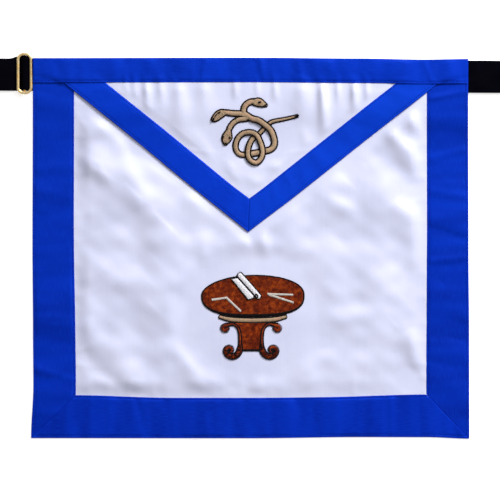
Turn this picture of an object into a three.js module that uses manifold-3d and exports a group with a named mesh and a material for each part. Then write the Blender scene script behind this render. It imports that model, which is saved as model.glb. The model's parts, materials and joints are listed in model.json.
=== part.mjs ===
import * as THREE from 'three';
import { mergeVertices } from 'three/addons/utils/BufferGeometryUtils.js';
import Module from 'manifold-3d';

const wasm = await Module();
wasm.setup();

// A lodge apron that lies flat with its front up. X runs along the waist, +Y points to the waist
// and "down" is measured from the top edge towards the hem. Sizes are in millimetres.

// Apron and flap
const apronWidth = 406.4;
const apronHeight = 355.6;
const sideRibbonWidth = 38.6;
const hemRibbonWidth = 38.6;
const waistbandHeight = 23;
const flapDrop = 163;
const flapRibbonWidth = 24.5;
const flapTipRise = 0.6;
const edgeWander = 2;

// Walls and the gap between pieces
const satinWall = 1;
const ribbonWall = 1;
const strapWall = 1.2;
const edgingWall = 0.6;
const threadWall = 0.8;
const clearance = 0.3;

// Belt, adjuster and clasp
const beltWidth = 30;
const beltReach = 72;
const beltDownLeft = 15.8;
const beltDownRight = 17.6;
const beltTabLength = 22;
const beltFlatShare = 0.46;
const beltTurnRadius = 2.4;
const beltPinch = 2.4;
const slideWidth = 14.7;
const slideHeight = 38.6;
const slideDown = 14.7;
const slideWire = 2.6;
const slideThickness = 1.8;
const slideCornerRadius = 6.4;
const slideWindowRadius = 2.8;
const slideBarWidth = 2;
const slideBarThickness = 1;
const slideBevel = 0.4;
const claspLength = 20;
const claspRampLength = 14;
const claspWall = 0.5;
const claspRim = 1.5;
const claspCornerRadius = 1;
const beltEndGap = 2;

// Embroidered emblems
const serpentWidth = 82.3;
const serpentHeight = 62.8;
const serpentLine = 4.6;
const serpentAcross = 3.8;
const serpentPlace = 0.41;
const serpentLift = 0.5;
const serpentEdging = 1.1;
const tableWidth = 95.9;
const tableHeight = 81.5;
const tableLine = 3.2;
const tableAcross = 1.9;
const tableEdging = 1.1;
const tableOvalShade = 1.6;

// Folds: their full height, and how far they stay away from ribbons, flap and emblems
const foldRise = 3.2;
const foldMargin = 3;
const foldEase = 14;
const gatherShare = 0.9;
const emblemMargin = 14;

// How far the cloth takes to come down from the belt, and the waistband from the flap's edge
const panelEaseLength = 54;
const bandEaseStart = 6.5;
const bandEaseEnd = 17;

// How finely the cloth is divided
const panelColumns = 26;
const panelRows = 27;
const beltZoneRows = 3;
const flapColumns = 66;
const flapRowShares = [0, 0.09, 0.18, 0.28, 0.39, 0.58, 1];
const ribbonSteps = 14;
const waistbandEndShare = 0.2;
const waistbandEndSteps = 6;
const waistbandMiddleSteps = 8;

// Heights that follow from the walls
const claspHeight = strapWall + 2 * (claspWall + clearance);
const beltStack = Math.max(claspHeight, 2 * strapWall + clearance);
const waistRise = beltStack + clearance;
const sideRibbonTop = waistRise + satinWall + ribbonWall + clearance;
const flapSeat = sideRibbonTop + clearance;
const flapRibbonSeat = flapSeat + satinWall + clearance;
const bandSeat = flapRibbonSeat + ribbonWall + clearance;
const foldInset = ribbonWall + clearance;
const gatherRise = gatherShare * (ribbonWall + clearance);

// Places in the plan that follow from the sizes
const halfWidth = apronWidth / 2;
const slideStandsOver = Math.max(0, slideHeight / 2 - slideDown);
const topEdgeY = (apronHeight - slideStandsOver) / 2;
const flapEdgeLength = Math.hypot(halfWidth, flapDrop);
const flapLevelDown = Math.max(waistbandHeight, (flapDrop * sideRibbonWidth) / halfWidth) + foldMargin;
const beltZoneDown = Math.max(beltDownLeft, beltDownRight) + beltWidth / 2 + foldMargin;
const panelRestDown = beltZoneDown + panelEaseLength;
const mitreGap = clearance * Math.SQRT1_2;
const flapInnerTip = flapDrop - (flapRibbonWidth * flapEdgeLength) / halfWidth;
const serpentDown = THREE.MathUtils.lerp(waistbandHeight, flapInnerTip, serpentPlace);
const tableDown = (flapDrop + apronHeight - hemRibbonWidth) / 2;

// How the outline strays from a rectangle, as shares of edgeWander
const sideWander = [
  { at: 0, left: 0.5, right: 0.9 },
  { at: 0.5, left: 0.5, right: 0.7 },
  { at: 0.72, left: 0.8, right: 0.4 },
  { at: 0.86, left: 0.9, right: 0.3 },
  { at: 1, left: 0, right: 0 },
];
const endWander = [
  { at: -1, top: 0.2, hem: 0.1 },
  { at: 0, top: 0, hem: 0 },
  { at: 0.5, top: 0.4, hem: 0.9 },
  { at: 0.8, top: 0.9, hem: 0.8 },
  { at: 1, top: 0.6, hem: 0.1 },
];

// Folds of the main panel. Places are shares of half the width and of the height, from crest end
// to crest end, and spread and rise are shares of half the width and of foldRise.
const panelFolds = [
  { across: -0.76, down: 0.235, toAcross: -0.19, toDown: 0.52, spread: 0.085, rise: 1 },
  { across: -0.8, down: 0.46, toAcross: -0.4, toDown: 0.62, spread: 0.09, rise: 0.5 },
  { across: -0.8, down: 0.68, toAcross: -0.47, toDown: 0.875, spread: 0.06, rise: 0.95 },
  { across: 0.6, down: 0.17, toAcross: 0.8, toDown: 0.3, spread: 0.05, rise: 0.8 },
  { across: 0.72, down: 0.14, toAcross: 0.81, toDown: 0.2, spread: 0.035, rise: 0.6 },
  { across: 0.34, down: 0.34, toAcross: 0.74, toDown: 0.41, spread: 0.06, rise: 0.75 },
  { across: 0.03, down: 0.465, toAcross: 0.05, toDown: 0.54, spread: 0.035, rise: 0.6 },
  { across: 0.03, down: 0.8, toAcross: 0.02, toDown: 0.89, spread: 0.035, rise: 0.6 },
  { across: -0.57, down: 0.2, toAcross: -0.46, toDown: 0.39, spread: 0.045, rise: 0.5 },
  { across: 0.68, down: 0.75, toAcross: 0.8, toDown: 0.82, spread: 0.05, rise: 0.5 },
  { across: 0.3, down: 0.68, toAcross: 0.8, toDown: 0.66, spread: 0.04, rise: 0.3 },
];

// Gathers that run down from the waistband, as shares of half the width and of the flap's drop
const flapGathers = [
  { across: -0.55, reach: 0.24, spread: 0.026, rise: 0.8 },
  { across: -0.45, reach: 0.26, spread: 0.028, rise: 1 },
  { across: -0.34, reach: 0.42, spread: 0.036, rise: 1 },
  { across: -0.24, reach: 0.4, spread: 0.034, rise: 0.7 },
  { across: -0.11, reach: 0.25, spread: 0.026, rise: 0.7 },
  { across: 0, reach: 0.22, spread: 0.024, rise: 0.5 },
  { across: 0.12, reach: 0.25, spread: 0.026, rise: 0.8 },
  { across: 0.25, reach: 0.36, spread: 0.03, rise: 0.7 },
  { across: 0.35, reach: 0.42, spread: 0.032, rise: 1 },
  { across: 0.43, reach: 0.38, spread: 0.026, rise: 0.8 },
  { across: 0.51, reach: 0.28, spread: 0.024, rise: 0.9 },
];

// The serpent's strands, as shares of its width and height. "over" is 1 where a strand crosses
// above another, and the widths are shares of serpentLine.
const serpentStrands = [
  {
    name: 'outer sweep',
    startWidth: 1,
    endWidth: 1,
    path: [
      { across: 0.36, down: 0.25, over: 0 },
      { across: 0.46, down: 0.31, over: 0.5 },
      { across: 0.56, down: 0.36, over: 1 },
      { across: 0.66, down: 0.46, over: 1 },
      { across: 0.715, down: 0.6, over: 0.5 },
      { across: 0.71, down: 0.72, over: 0 },
      { across: 0.65, down: 0.785, over: 0 },
      { across: 0.51, down: 0.825, over: 0 },
      { across: 0.38, down: 0.85, over: 0 },
    ],
  },
  {
    name: 'left coil',
    startWidth: 0.96,
    endWidth: 0.87,
    path: [
      { across: 0.39, down: 0.85, over: 0 },
      { across: 0.33, down: 0.84, over: 0 },
      { across: 0.285, down: 0.74, over: 0 },
      { across: 0.31, down: 0.6, over: 0 },
      { across: 0.37, down: 0.53, over: 0.5 },
      { across: 0.44, down: 0.52, over: 1 },
      { across: 0.52, down: 0.57, over: 1 },
      { across: 0.57, down: 0.7, over: 1 },
      { across: 0.587, down: 0.82, over: 1 },
    ],
  },
  {
    name: 'middle coil',
    startWidth: 0.87,
    endWidth: 0.78,
    path: [
      { across: 0.587, down: 0.81, over: 1 },
      { across: 0.57, down: 0.91, over: 1 },
      { across: 0.5, down: 0.97, over: 1 },
      { across: 0.44, down: 0.91, over: 1 },
      { across: 0.42, down: 0.82, over: 1 },
      { across: 0.44, down: 0.7, over: 0.5 },
      { across: 0.475, down: 0.61, over: 0 },
      { across: 0.54, down: 0.545, over: 0 },
    ],
  },
  {
    name: 'tail',
    startWidth: 0.74,
    endWidth: 0.3,
    path: [
      { across: 0.53, down: 0.555, over: 0 },
      { across: 0.59, down: 0.48, over: 0 },
      { across: 0.66, down: 0.38, over: 0 },
      { across: 0.72, down: 0.35, over: 0 },
      { across: 0.85, down: 0.315, over: 0 },
      { across: 0.985, down: 0.27, over: 0 },
    ],
  },
  {
    name: 'upper neck',
    startWidth: 1,
    endWidth: 0.96,
    path: [
      { across: 0.375, down: 0.28, over: 0 },
      { across: 0.365, down: 0.2, over: 0 },
      { across: 0.39, down: 0.12, over: 0 },
      { across: 0.45, down: 0.065, over: 0 },
      { across: 0.53, down: 0.06, over: 0 },
    ],
  },
  {
    name: 'left neck',
    startWidth: 0.96,
    endWidth: 0.96,
    path: [
      { across: 0.4, down: 0.27, over: 0 },
      { across: 0.31, down: 0.24, over: 0 },
      { across: 0.21, down: 0.225, over: 0 },
      { across: 0.13, down: 0.235, over: 0 },
    ],
  },
  {
    name: 'lower neck',
    startWidth: 0.91,
    endWidth: 0.91,
    path: [
      { across: 0.35, down: 0.28, over: 0 },
      { across: 0.27, down: 0.32, over: 0 },
      { across: 0.22, down: 0.38, over: 0 },
      { across: 0.195, down: 0.46, over: 0 },
      { across: 0.19, down: 0.53, over: 0 },
    ],
  },
];

// The three heads: nape, heading in degrees from +X, and length and width as shares of serpentLine
const serpentHeads = [
  { across: 0.51, down: 0.06, heading: -22, length: 2.09, width: 1.48 },
  { across: 0.135, down: 0.225, heading: 225, length: 2.43, width: 1.35 },
  { across: 0.19, down: 0.5, heading: 264, length: 2.7, width: 1.43 },
];

// The table's parts, as shares of its width and height, with stroke widths as shares of tableLine
const tableOval = { across: 0.5, down: 0.267, width: 0.975, height: 0.455, tilt: 1.2 };
const tableRimBand = {
  startWidth: 1.06,
  endWidth: 1.06,
  path: [
    { across: 0.2, down: 0.515 },
    { across: 0.34, down: 0.541 },
    { across: 0.5, down: 0.548 },
    { across: 0.66, down: 0.541 },
    { across: 0.82, down: 0.515 },
  ],
};
const tableColumn = { top: 0.58, foot: 0.885, topHalf: 0.2, waistHalf: 0.105, footHalf: 0.09 };
const tableArm = {
  startWidth: 1,
  endWidth: 0.81,
  path: [
    { across: 0.33, down: 0.6 },
    { across: 0.25, down: 0.595 },
    { across: 0.205, down: 0.63 },
    { across: 0.205, down: 0.675 },
    { across: 0.24, down: 0.685 },
  ],
};
const tableFoot = {
  startWidth: 1.69,
  endWidth: 0.94,
  path: [
    { across: 0.4, down: 0.83 },
    { across: 0.38, down: 0.9 },
    { across: 0.325, down: 0.945 },
    { across: 0.265, down: 0.93 },
    { across: 0.24, down: 0.88 },
    { across: 0.265, down: 0.85 },
  ],
};
const scrollPage = {
  startWidth: 1.5,
  endWidth: 2,
  path: [
    { across: 0.322, down: 0.07 },
    { across: 0.48, down: 0.3 },
  ],
};
const scrollRoll = {
  startWidth: 1.13,
  endWidth: 1.38,
  path: [
    { across: 0.377, down: 0.025 },
    { across: 0.555, down: 0.265 },
  ],
};
const squareStrokes = [
  {
    startWidth: 0.75,
    endWidth: 0.75,
    path: [
      { across: 0.11, down: 0.308 },
      { across: 0.27, down: 0.288 },
    ],
  },
  {
    startWidth: 0.75,
    endWidth: 0.75,
    path: [
      { across: 0.26, down: 0.28 },
      { across: 0.383, down: 0.445 },
    ],
  },
];
const compassStrokes = [
  {
    startWidth: 0.81,
    endWidth: 0.56,
    path: [
      { across: 0.655, down: 0.25 },
      { across: 0.895, down: 0.256 },
    ],
  },
  {
    startWidth: 0.69,
    endWidth: 0.56,
    path: [
      { across: 0.665, down: 0.255 },
      { across: 0.9, down: 0.345 },
    ],
  },
];

// A value read between the rows of a table, eased so that it has no kinks
function follow(table, column, at) {
  const next = table.findIndex((row) => row.at >= at);
  if (next <= 0) {
    return next === 0 ? table[0][column] : table[table.length - 1][column];
  }
  const before = table[next - 1];
  const after = table[next];
  const share = THREE.MathUtils.smoothstep(at, before.at, after.at);
  return THREE.MathUtils.lerp(before[column], after[column], share);
}

// The place of a plan point once the cloth has settled, with its outline a little astray
function settlePoint(across, down, height) {
  const side = across / halfWidth;
  const share = down / apronHeight;
  const inset = edgeWander * follow(sideWander, side < 0 ? 'left' : 'right', share);
  const fromTop = edgeWander * follow(endWander, 'top', side) * (1 - share);
  const fromHem = edgeWander * follow(endWander, 'hem', side) * share;
  return new THREE.Vector3(across - side * inset, topEdgeY - down - fromTop + fromHem, height);
}

// How far a plan point lies inside the flap's slanted edge, negative outside it
function flapInset(across, down) {
  const edgeAcross = halfWidth * (1 - down / flapDrop);
  return ((edgeAcross - Math.abs(across)) * flapDrop) / flapEdgeLength;
}

// Undersides of the cloth layers above the table that the apron lies on
function panelUnder(down) {
  return waistRise * (1 - THREE.MathUtils.smoothstep(down, beltZoneDown, panelRestDown));
}

function flapUnder(down) {
  const tipUnder = satinWall + flapTipRise;
  const share = Math.max(0, down - flapLevelDown) / (flapDrop - flapLevelDown);
  return THREE.MathUtils.lerp(flapSeat, tipUnder, share);
}

function bandUnder(across, down) {
  const outside = -flapInset(across, down);
  const drop = bandSeat - flapSeat;
  return bandSeat - drop * THREE.MathUtils.smoothstep(outside, bandEaseStart, bandEaseEnd);
}

// The height of one straight fold at a plan point
function foldHeight(fold, across, down) {
  const start = new THREE.Vector2(fold.across * halfWidth, fold.down * apronHeight);
  const end = new THREE.Vector2(fold.toAcross * halfWidth, fold.toDown * apronHeight);
  const along = end.clone().sub(start);
  const here = new THREE.Vector2(across, down).sub(start);
  const share = THREE.MathUtils.clamp(here.dot(along) / along.lengthSq(), 0, 1);
  const away = here.sub(along.multiplyScalar(share)).length();
  const taper = 1 - 0.5 * Math.abs(2 * share - 1) ** 3;
  return fold.rise * foldRise * taper * Math.exp(-((away / (fold.spread * halfWidth)) ** 2));
}

// Zero over an emblem and a margin round it, one well away from it
function clearOfEmblem(across, down, centreAcross, centreDown, width, height) {
  const x = (across - centreAcross) / (width / 2 + emblemMargin);
  const y = (down - centreDown) / (height / 2 + emblemMargin);
  return THREE.MathUtils.smoothstep(Math.hypot(x, y), 1, 1.3);
}

function panelFold(across, down) {
  const fromSide = halfWidth - sideRibbonWidth - Math.abs(across);
  const fromHem = apronHeight - hemRibbonWidth - down;
  const fromFlap = -flapInset(across, down) - foldMargin;
  const inside = Math.min(fromSide, fromHem, fromFlap);
  const free = THREE.MathUtils.smoothstep(inside, 0, foldEase);
  const shown = clearOfEmblem(across, down, tableAcross, tableDown, tableWidth, tableHeight);
  const height = panelFolds.reduce((sum, fold) => sum + foldHeight(fold, across, down), 0);
  return Math.min(height, foldRise) * free * shown;
}

function gatherHeight(across, down) {
  const inside = flapInset(across, down) - flapRibbonWidth - foldMargin;
  const free = THREE.MathUtils.smoothstep(inside, foldMargin, foldEase);
  const shown = clearOfEmblem(across, down, serpentAcross, serpentDown, serpentWidth, serpentHeight);
  const height = flapGathers.reduce((sum, gather) => {
    const away = (across - gather.across * halfWidth) / (gather.spread * halfWidth);
    const fade = 1 - THREE.MathUtils.smoothstep(down / flapDrop, gather.reach / 2, gather.reach);
    return sum + gather.rise * Math.exp(-(away ** 2)) * fade;
  }, 0);
  return gatherRise * Math.min(height, 1) * free * shown;
}

// A thin closed wall: a divided box whose corners are put where place(column, row, front) says
function wall(columns, rows, place) {
  const box = new THREE.BoxGeometry(1, 1, 1, columns, rows, 1);
  box.deleteAttribute('normal');
  box.deleteAttribute('uv');
  const merged = mergeVertices(box, 1e-4);
  const corners = merged.attributes.position;
  for (let i = 0; i < corners.count; i += 1) {
    const column = Math.round((corners.getX(i) + 0.5) * columns);
    const row = Math.round((0.5 - corners.getY(i)) * rows);
    const point = place(column, row, corners.getZ(i) > 0);
    corners.setXYZ(i, point.x, point.y, point.z);
  }
  return merged;
}

// Moves flat cloth, drawn as (across, -down, height), to its settled place
function settle(geometry) {
  const corners = geometry.attributes.position;
  for (let i = 0; i < corners.count; i += 1) {
    const point = settlePoint(corners.getX(i), -corners.getY(i), corners.getZ(i));
    corners.setXYZ(i, point.x, point.y, point.z);
  }
  return geometry;
}

function toSolid(geometry) {
  const bare = geometry.clone();
  bare.deleteAttribute('normal');
  bare.deleteAttribute('uv');
  const merged = mergeVertices(bare, 1e-4);
  return new wasm.Manifold(new wasm.Mesh({
    numProp: 3,
    vertProperties: new Float32Array(merged.attributes.position.array),
    triVerts: new Uint32Array(merged.index.array),
  }));
}

function toGeometry(solid) {
  const mesh = solid.getMesh();
  const geometry = new THREE.BufferGeometry();
  geometry.setAttribute('position', new THREE.BufferAttribute(mesh.vertProperties, 3));
  geometry.setIndex(new THREE.BufferAttribute(mesh.triVerts, 1));
  return geometry;
}

function joined(geometries) {
  const solids = geometries.map(toSolid);
  return toGeometry(solids.reduce((whole, solid) => whole.add(solid)));
}

function cutAway(geometry, cutters) {
  return toGeometry(toSolid(geometry).subtract(toSolid(joined(cutters))));
}

function clipped(geometry, cutter) {
  return toGeometry(toSolid(geometry).intersect(toSolid(cutter)));
}

function piece(name, geometry, material) {
  geometry.computeVertexNormals();
  const mesh = new THREE.Mesh(geometry, material);
  mesh.name = name;
  return mesh;
}

function finish(color, roughness, metalness = 0) {
  return new THREE.MeshStandardMaterial({ color, roughness, metalness });
}

// Main panel of white satin, whose edges stop inside the folded ribbons
function bodyPanel() {
  const across = [-halfWidth + foldInset];
  const innerHalf = halfWidth - sideRibbonWidth;
  for (let i = 0; i <= panelColumns; i += 1) {
    across.push(THREE.MathUtils.lerp(-innerHalf, innerHalf, i / panelColumns));
  }
  across.push(halfWidth - foldInset);
  const down = panelRowPlaces();
  return wall(across.length - 1, down.length - 1, (column, row, front) => {
    const x = across[column];
    const under = panelUnder(down[row]) + panelFold(x, down[row]);
    return new THREE.Vector3(x, -down[row], under + (front ? satinWall : 0));
  });
}

// The rows that the panel and its side ribbons share, down to the hem ribbon's inner edge. One of
// them ends the flat stretch over the belt.
function sharedRowPlaces() {
  const last = apronHeight - hemRibbonWidth;
  const rowsBelow = panelRows - beltZoneRows;
  return Array.from({ length: panelRows }, (_, i) => (
    i < beltZoneRows
      ? THREE.MathUtils.lerp(foldInset, beltZoneDown, i / beltZoneRows)
      : THREE.MathUtils.lerp(beltZoneDown, last, (i - beltZoneRows) / (rowsBelow - 1))
  ));
}

function panelRowPlaces() {
  return [...sharedRowPlaces(), apronHeight - foldInset];
}

// A ribbon folded over a cloth edge: the fold covers the edge, and the leaf lies on the front.
// plan(row, inward) gives a plan point, and seat and leaf the undersides of fold and leaf.
function binding(rows, leafWidth, leafCells, plan, seat, leaf) {
  return wall(leafCells + 1, rows, (column, row, front) => {
    const fold = column < 2;
    const foldInward = front ? 0 : ribbonWall;
    const inward = fold ? foldInward : (leafWidth * (column - 1)) / leafCells;
    const { across, down } = plan(row, inward);
    const low = seat(across, down);
    const high = leaf(across, down) + (front ? ribbonWall : 0);
    return new THREE.Vector3(across, -down, column === 0 ? low : high);
  });
}

function sideRibbon(side) {
  const mitreSlope = hemRibbonWidth / sideRibbonWidth;
  const straight = sharedRowPlaces().slice(0, -1);
  const rows = straight.length;
  const plan = (row, inward) => {
    const place = side < 0 ? row : rows - row;
    const mitre = apronHeight - inward * mitreSlope - mitreGap;
    return { across: side * (halfWidth - inward), down: place === rows ? mitre : straight[place] };
  };
  const seat = (across, down) => panelUnder(down);
  const leaf = (across, down) => panelUnder(down) + satinWall + clearance;
  return binding(rows, sideRibbonWidth, 2, plan, seat, leaf);
}

function hemRibbon() {
  const mitreSlope = sideRibbonWidth / hemRibbonWidth;
  const plan = (row, inward) => {
    const half = halfWidth - inward * mitreSlope - mitreGap;
    return { across: half * (2 * (row / ribbonSteps) - 1), down: apronHeight - inward };
  };
  const leaf = () => satinWall + clearance;
  return binding(ribbonSteps, hemRibbonWidth, 2, plan, () => 0, leaf);
}

// Waistband ribbon over the top edge, the side ribbons and the flap
function waistband() {
  const endSteps = waistbandEndSteps;
  const rows = 2 * endSteps + waistbandMiddleSteps;
  const endLength = halfWidth * waistbandEndShare;
  const acrossAt = (row) => {
    if (row <= endSteps) {
      return halfWidth - (endLength * row) / endSteps;
    }
    if (row >= rows - endSteps) {
      return -halfWidth + (endLength * (rows - row)) / endSteps;
    }
    const share = (row - endSteps) / waistbandMiddleSteps;
    return THREE.MathUtils.lerp(halfWidth - endLength, -halfWidth + endLength, share);
  };
  const plan = (row, inward) => ({ across: acrossAt(row), down: inward });
  return binding(rows, waistbandHeight, 3, plan, () => waistRise, bandUnder);
}

// White satin of the flap: a divided sheet cut to the triangle inside the folded ribbons
function flapPanel() {
  const shown = flapRowShares.map((share) => THREE.MathUtils.lerp(waistbandHeight, flapDrop, share));
  const down = [foldInset, ...shown];
  const sheet = wall(flapColumns, down.length - 1, (column, row, front) => {
    const x = THREE.MathUtils.lerp(-halfWidth, halfWidth, column / flapColumns);
    const under = flapUnder(down[row]) + gatherHeight(x, down[row]);
    return new THREE.Vector3(x, -down[row], under + (front ? satinWall : 0));
  });
  const topHalf = halfWidth - (foldInset * flapEdgeLength) / flapDrop;
  const tipDown = flapDrop - (foldInset * flapEdgeLength) / halfWidth;
  const triangle = new THREE.Shape();
  triangle.moveTo(-topHalf, 0);
  triangle.lineTo(0, -tipDown);
  triangle.lineTo(topHalf, 0);
  triangle.closePath();
  const prism = new THREE.ExtrudeGeometry(triangle, { depth: 2 * bandSeat, bevelEnabled: false });
  return clipped(sheet, prism);
}

function flapRibbon(side) {
  const plan = (row, inward) => {
    const share = side < 0 ? row / ribbonSteps : 1 - row / ribbonSteps;
    const topHalf = halfWidth * (1 - foldInset / flapDrop) - (inward * flapEdgeLength) / flapDrop;
    const tipDown = flapDrop - (inward * flapEdgeLength) / halfWidth;
    return {
      across: side * THREE.MathUtils.lerp(topHalf, clearance / 2, share),
      down: THREE.MathUtils.lerp(foldInset, tipDown, share),
    };
  };
  const seat = (across, down) => flapUnder(down);
  const leaf = (across, down) => flapUnder(down) + satinWall + clearance;
  return binding(ribbonSteps, flapRibbonWidth, 2, plan, seat, leaf);
}

// A raised stroke of stitching along a path given as shares of an emblem's width and height
function stroke(strand, size, options) {
  const { extra = 0, base = 0, thickness, crown = 1, lift = 0 } = options;
  const columns = crown < 1 ? 2 : 1;
  const points = strand.path.map((row) => new THREE.Vector3(
    (row.across - 0.5) * size.width,
    (0.5 - row.down) * size.height,
    (row.over ?? 0) * lift,
  ));
  const curve = new THREE.CatmullRomCurve3(points, false, 'centripetal');
  const length = curve.getLength();
  const steps = points.length === 2 ? 1 : Math.round((points.length - 1) * 1.6);
  const reach = extra / length;
  return wall(columns, steps, (column, row, front) => {
    const share = THREE.MathUtils.lerp(-reach, 1 + reach, row / steps);
    const onCurve = THREE.MathUtils.clamp(share, 0, 1);
    const point = curve.getPointAt(onCurve);
    const tangent = curve.getTangentAt(onCurve).setZ(0).normalize();
    point.addScaledVector(tangent, (share - onCurve) * length);
    const width = size.line * THREE.MathUtils.lerp(strand.startWidth, strand.endWidth, onCurve);
    const half = width / 2 + extra;
    const offset = ((2 * column) / columns - 1) * half;
    const height = column * 2 === columns ? thickness : thickness * crown;
    return new THREE.Vector3(
      point.x - tangent.y * offset,
      point.y + tangent.x * offset,
      front ? base + height + point.z : base,
    );
  });
}

function plate(shape, base, thickness) {
  const geometry = new THREE.ExtrudeGeometry(shape, {
    depth: thickness,
    bevelEnabled: false,
    curveSegments: 5,
  });
  return geometry.translate(0, 0, base);
}

// Lays an emblem piece, made about its own centre, on the cloth whose top is given by surface
function onCloth(geometry, centreAcross, centreDown, surface) {
  const corners = geometry.attributes.position;
  for (let i = 0; i < corners.count; i += 1) {
    const down = centreDown - corners.getY(i);
    const height = corners.getZ(i) + surface(down);
    corners.setXYZ(i, corners.getX(i) + centreAcross, -down, height);
  }
  return geometry;
}

// A serpent's head seen from above: rounded nape, wide jaw and blunt snout
function headPlate(head, extra, base, thickness) {
  const half = (head.width * serpentLine) / 2 + extra;
  const length = head.length * serpentLine + extra;
  const outline = new THREE.Shape();
  outline.moveTo(-extra, -half * 0.6);
  outline.quadraticCurveTo(length * 0.35, -half * 1.35, length * 0.85, -half * 0.5);
  outline.quadraticCurveTo(length * 1.1, 0, length * 0.85, half * 0.5);
  outline.quadraticCurveTo(length * 0.35, half * 1.35, -extra, half * 0.6);
  outline.closePath();
  const geometry = plate(outline, base, thickness);
  geometry.rotateZ(THREE.MathUtils.degToRad(head.heading));
  geometry.translate((head.across - 0.5) * serpentWidth, (0.5 - head.down) * serpentHeight, 0);
  return geometry;
}

const serpentSize = { width: serpentWidth, height: serpentHeight, line: serpentLine };

function flapTop(down) {
  return flapUnder(down) + satinWall;
}

function serpent() {
  const base = 2 * clearance + edgingWall;
  const options = { base, thickness: threadWall, crown: 0.6, lift: serpentLift };
  const strands = serpentStrands.map((strand) => stroke(strand, serpentSize, options));
  const heads = serpentHeads.map((head) => headPlate(head, 0, base, threadWall * 0.9));
  return onCloth(joined([...strands, ...heads]), serpentAcross, serpentDown, flapTop);
}

function serpentOutline() {
  const options = { base: clearance, thickness: edgingWall, extra: serpentEdging };
  const strands = serpentStrands.map((strand) => stroke(strand, serpentSize, options));
  const heads = serpentHeads.map((head) => headPlate(head, serpentEdging, clearance, edgingWall));
  return onCloth(joined([...strands, ...heads]), serpentAcross, serpentDown, flapTop);
}

function ovalPlate(extra, base, thickness, shade = 0) {
  const outline = new THREE.Shape();
  const halfAcross = (tableOval.width * tableWidth) / 2 + extra;
  const halfDown = (tableOval.height * tableHeight) / 2 + extra;
  const tilt = THREE.MathUtils.degToRad(tableOval.tilt);
  outline.absellipse(
    (tableOval.across - 0.5) * tableWidth,
    (0.5 - tableOval.down) * tableHeight - shade,
    halfAcross,
    halfDown,
    0,
    2 * Math.PI,
    false,
    tilt,
  );
  const options = { depth: thickness, bevelEnabled: false, curveSegments: 28 };
  return new THREE.ExtrudeGeometry(outline, options).translate(0, 0, base);
}

// The table's waisted column, widest under the rim band
function columnPlate(extra, base, thickness) {
  const { top, foot, topHalf, waistHalf, footHalf } = tableColumn;
  const x = (share) => share * tableWidth + extra;
  const y = (share) => (0.5 - share) * tableHeight;
  const middle = (top + foot) / 2;
  const outline = new THREE.Shape();
  outline.moveTo(-x(topHalf), y(top) + extra);
  outline.quadraticCurveTo(-x(waistHalf), y(top), -x(waistHalf), y(middle));
  outline.lineTo(-x(footHalf), y(foot) - extra);
  outline.lineTo(x(footHalf), y(foot) - extra);
  outline.lineTo(x(waistHalf), y(middle));
  outline.quadraticCurveTo(x(waistHalf), y(top), x(topHalf), y(top) + extra);
  outline.closePath();
  return plate(outline, base, thickness);
}

function mirroredStroke(strand) {
  return { ...strand, path: strand.path.map((row) => ({ ...row, across: 1 - row.across })) };
}

const tableSize = { width: tableWidth, height: tableHeight, line: tableLine };
const pedestalStrokes = [tableArm, tableFoot, mirroredStroke(tableArm), mirroredStroke(tableFoot)];
const fillBase = 2 * clearance + edgingWall;

function panelTop(down) {
  return panelUnder(down) + satinWall;
}

function tableStrokes(strokes, extra, base, thickness) {
  return strokes.map((strand) => stroke(strand, tableSize, { extra, base, thickness }));
}

function onPanel(geometry) {
  return onCloth(geometry, tableAcross, tableDown, panelTop);
}

function tableOutline() {
  const strokes = [tableRimBand, ...pedestalStrokes, scrollPage, scrollRoll];
  return onPanel(joined([
    ovalPlate(tableEdging, clearance, edgingWall),
    ovalPlate(tableEdging, clearance, edgingWall, tableOvalShade),
    columnPlate(tableEdging, clearance, edgingWall),
    ...tableStrokes(strokes, tableEdging, clearance, edgingWall),
  ]));
}

// The oval top, open where the square and compasses lie in it and round the scroll's dark edging
function tableTop() {
  const cutterHeight = 2 * fillBase + threadWall;
  const cutters = [
    ...tableStrokes([...squareStrokes, ...compassStrokes], clearance, 0, cutterHeight),
    ...tableStrokes([scrollPage, scrollRoll], tableEdging, 0, cutterHeight),
  ];
  return onPanel(cutAway(ovalPlate(0, fillBase, threadWall), cutters));
}

function tableRim() {
  const band = stroke(tableRimBand, tableSize, { base: fillBase, thickness: threadWall });
  return onPanel(cutAway(band, [ovalPlate(clearance, 0, 2 * fillBase + threadWall)]));
}

function tablePedestal() {
  return onPanel(joined([
    columnPlate(0, fillBase, threadWall),
    ...tableStrokes(pedestalStrokes, 0, fillBase, threadWall),
  ]));
}

function inlay(strokes) {
  return onPanel(joined(tableStrokes(strokes, 0, fillBase, threadWall)));
}

// Centre height of the strap's front run, its back run and the stretch inside the clasp
const backRunHeight = strapWall / 2;
const frontRunHeight = 1.5 * strapWall + clearance;
const claspRunHeight = claspWall + clearance + strapWall / 2;
const slideSeat = frontRunHeight + strapWall / 2 + clearance;
const overBarHeight = slideSeat + slideBarThickness + clearance + strapWall / 2;

// Across the picture the belt drops a little from its left end to its right end
function beltDownAt(across) {
  const share = (across + halfWidth) / apronWidth;
  return THREE.MathUtils.lerp(beltDownLeft, beltDownRight, share);
}

function easeTo(path, fromX, fromZ, toX, toZ) {
  const middle = (fromX + toX) / 2;
  path.bezierCurveTo(middle, fromZ, middle, toZ, toX, toZ);
}

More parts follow.
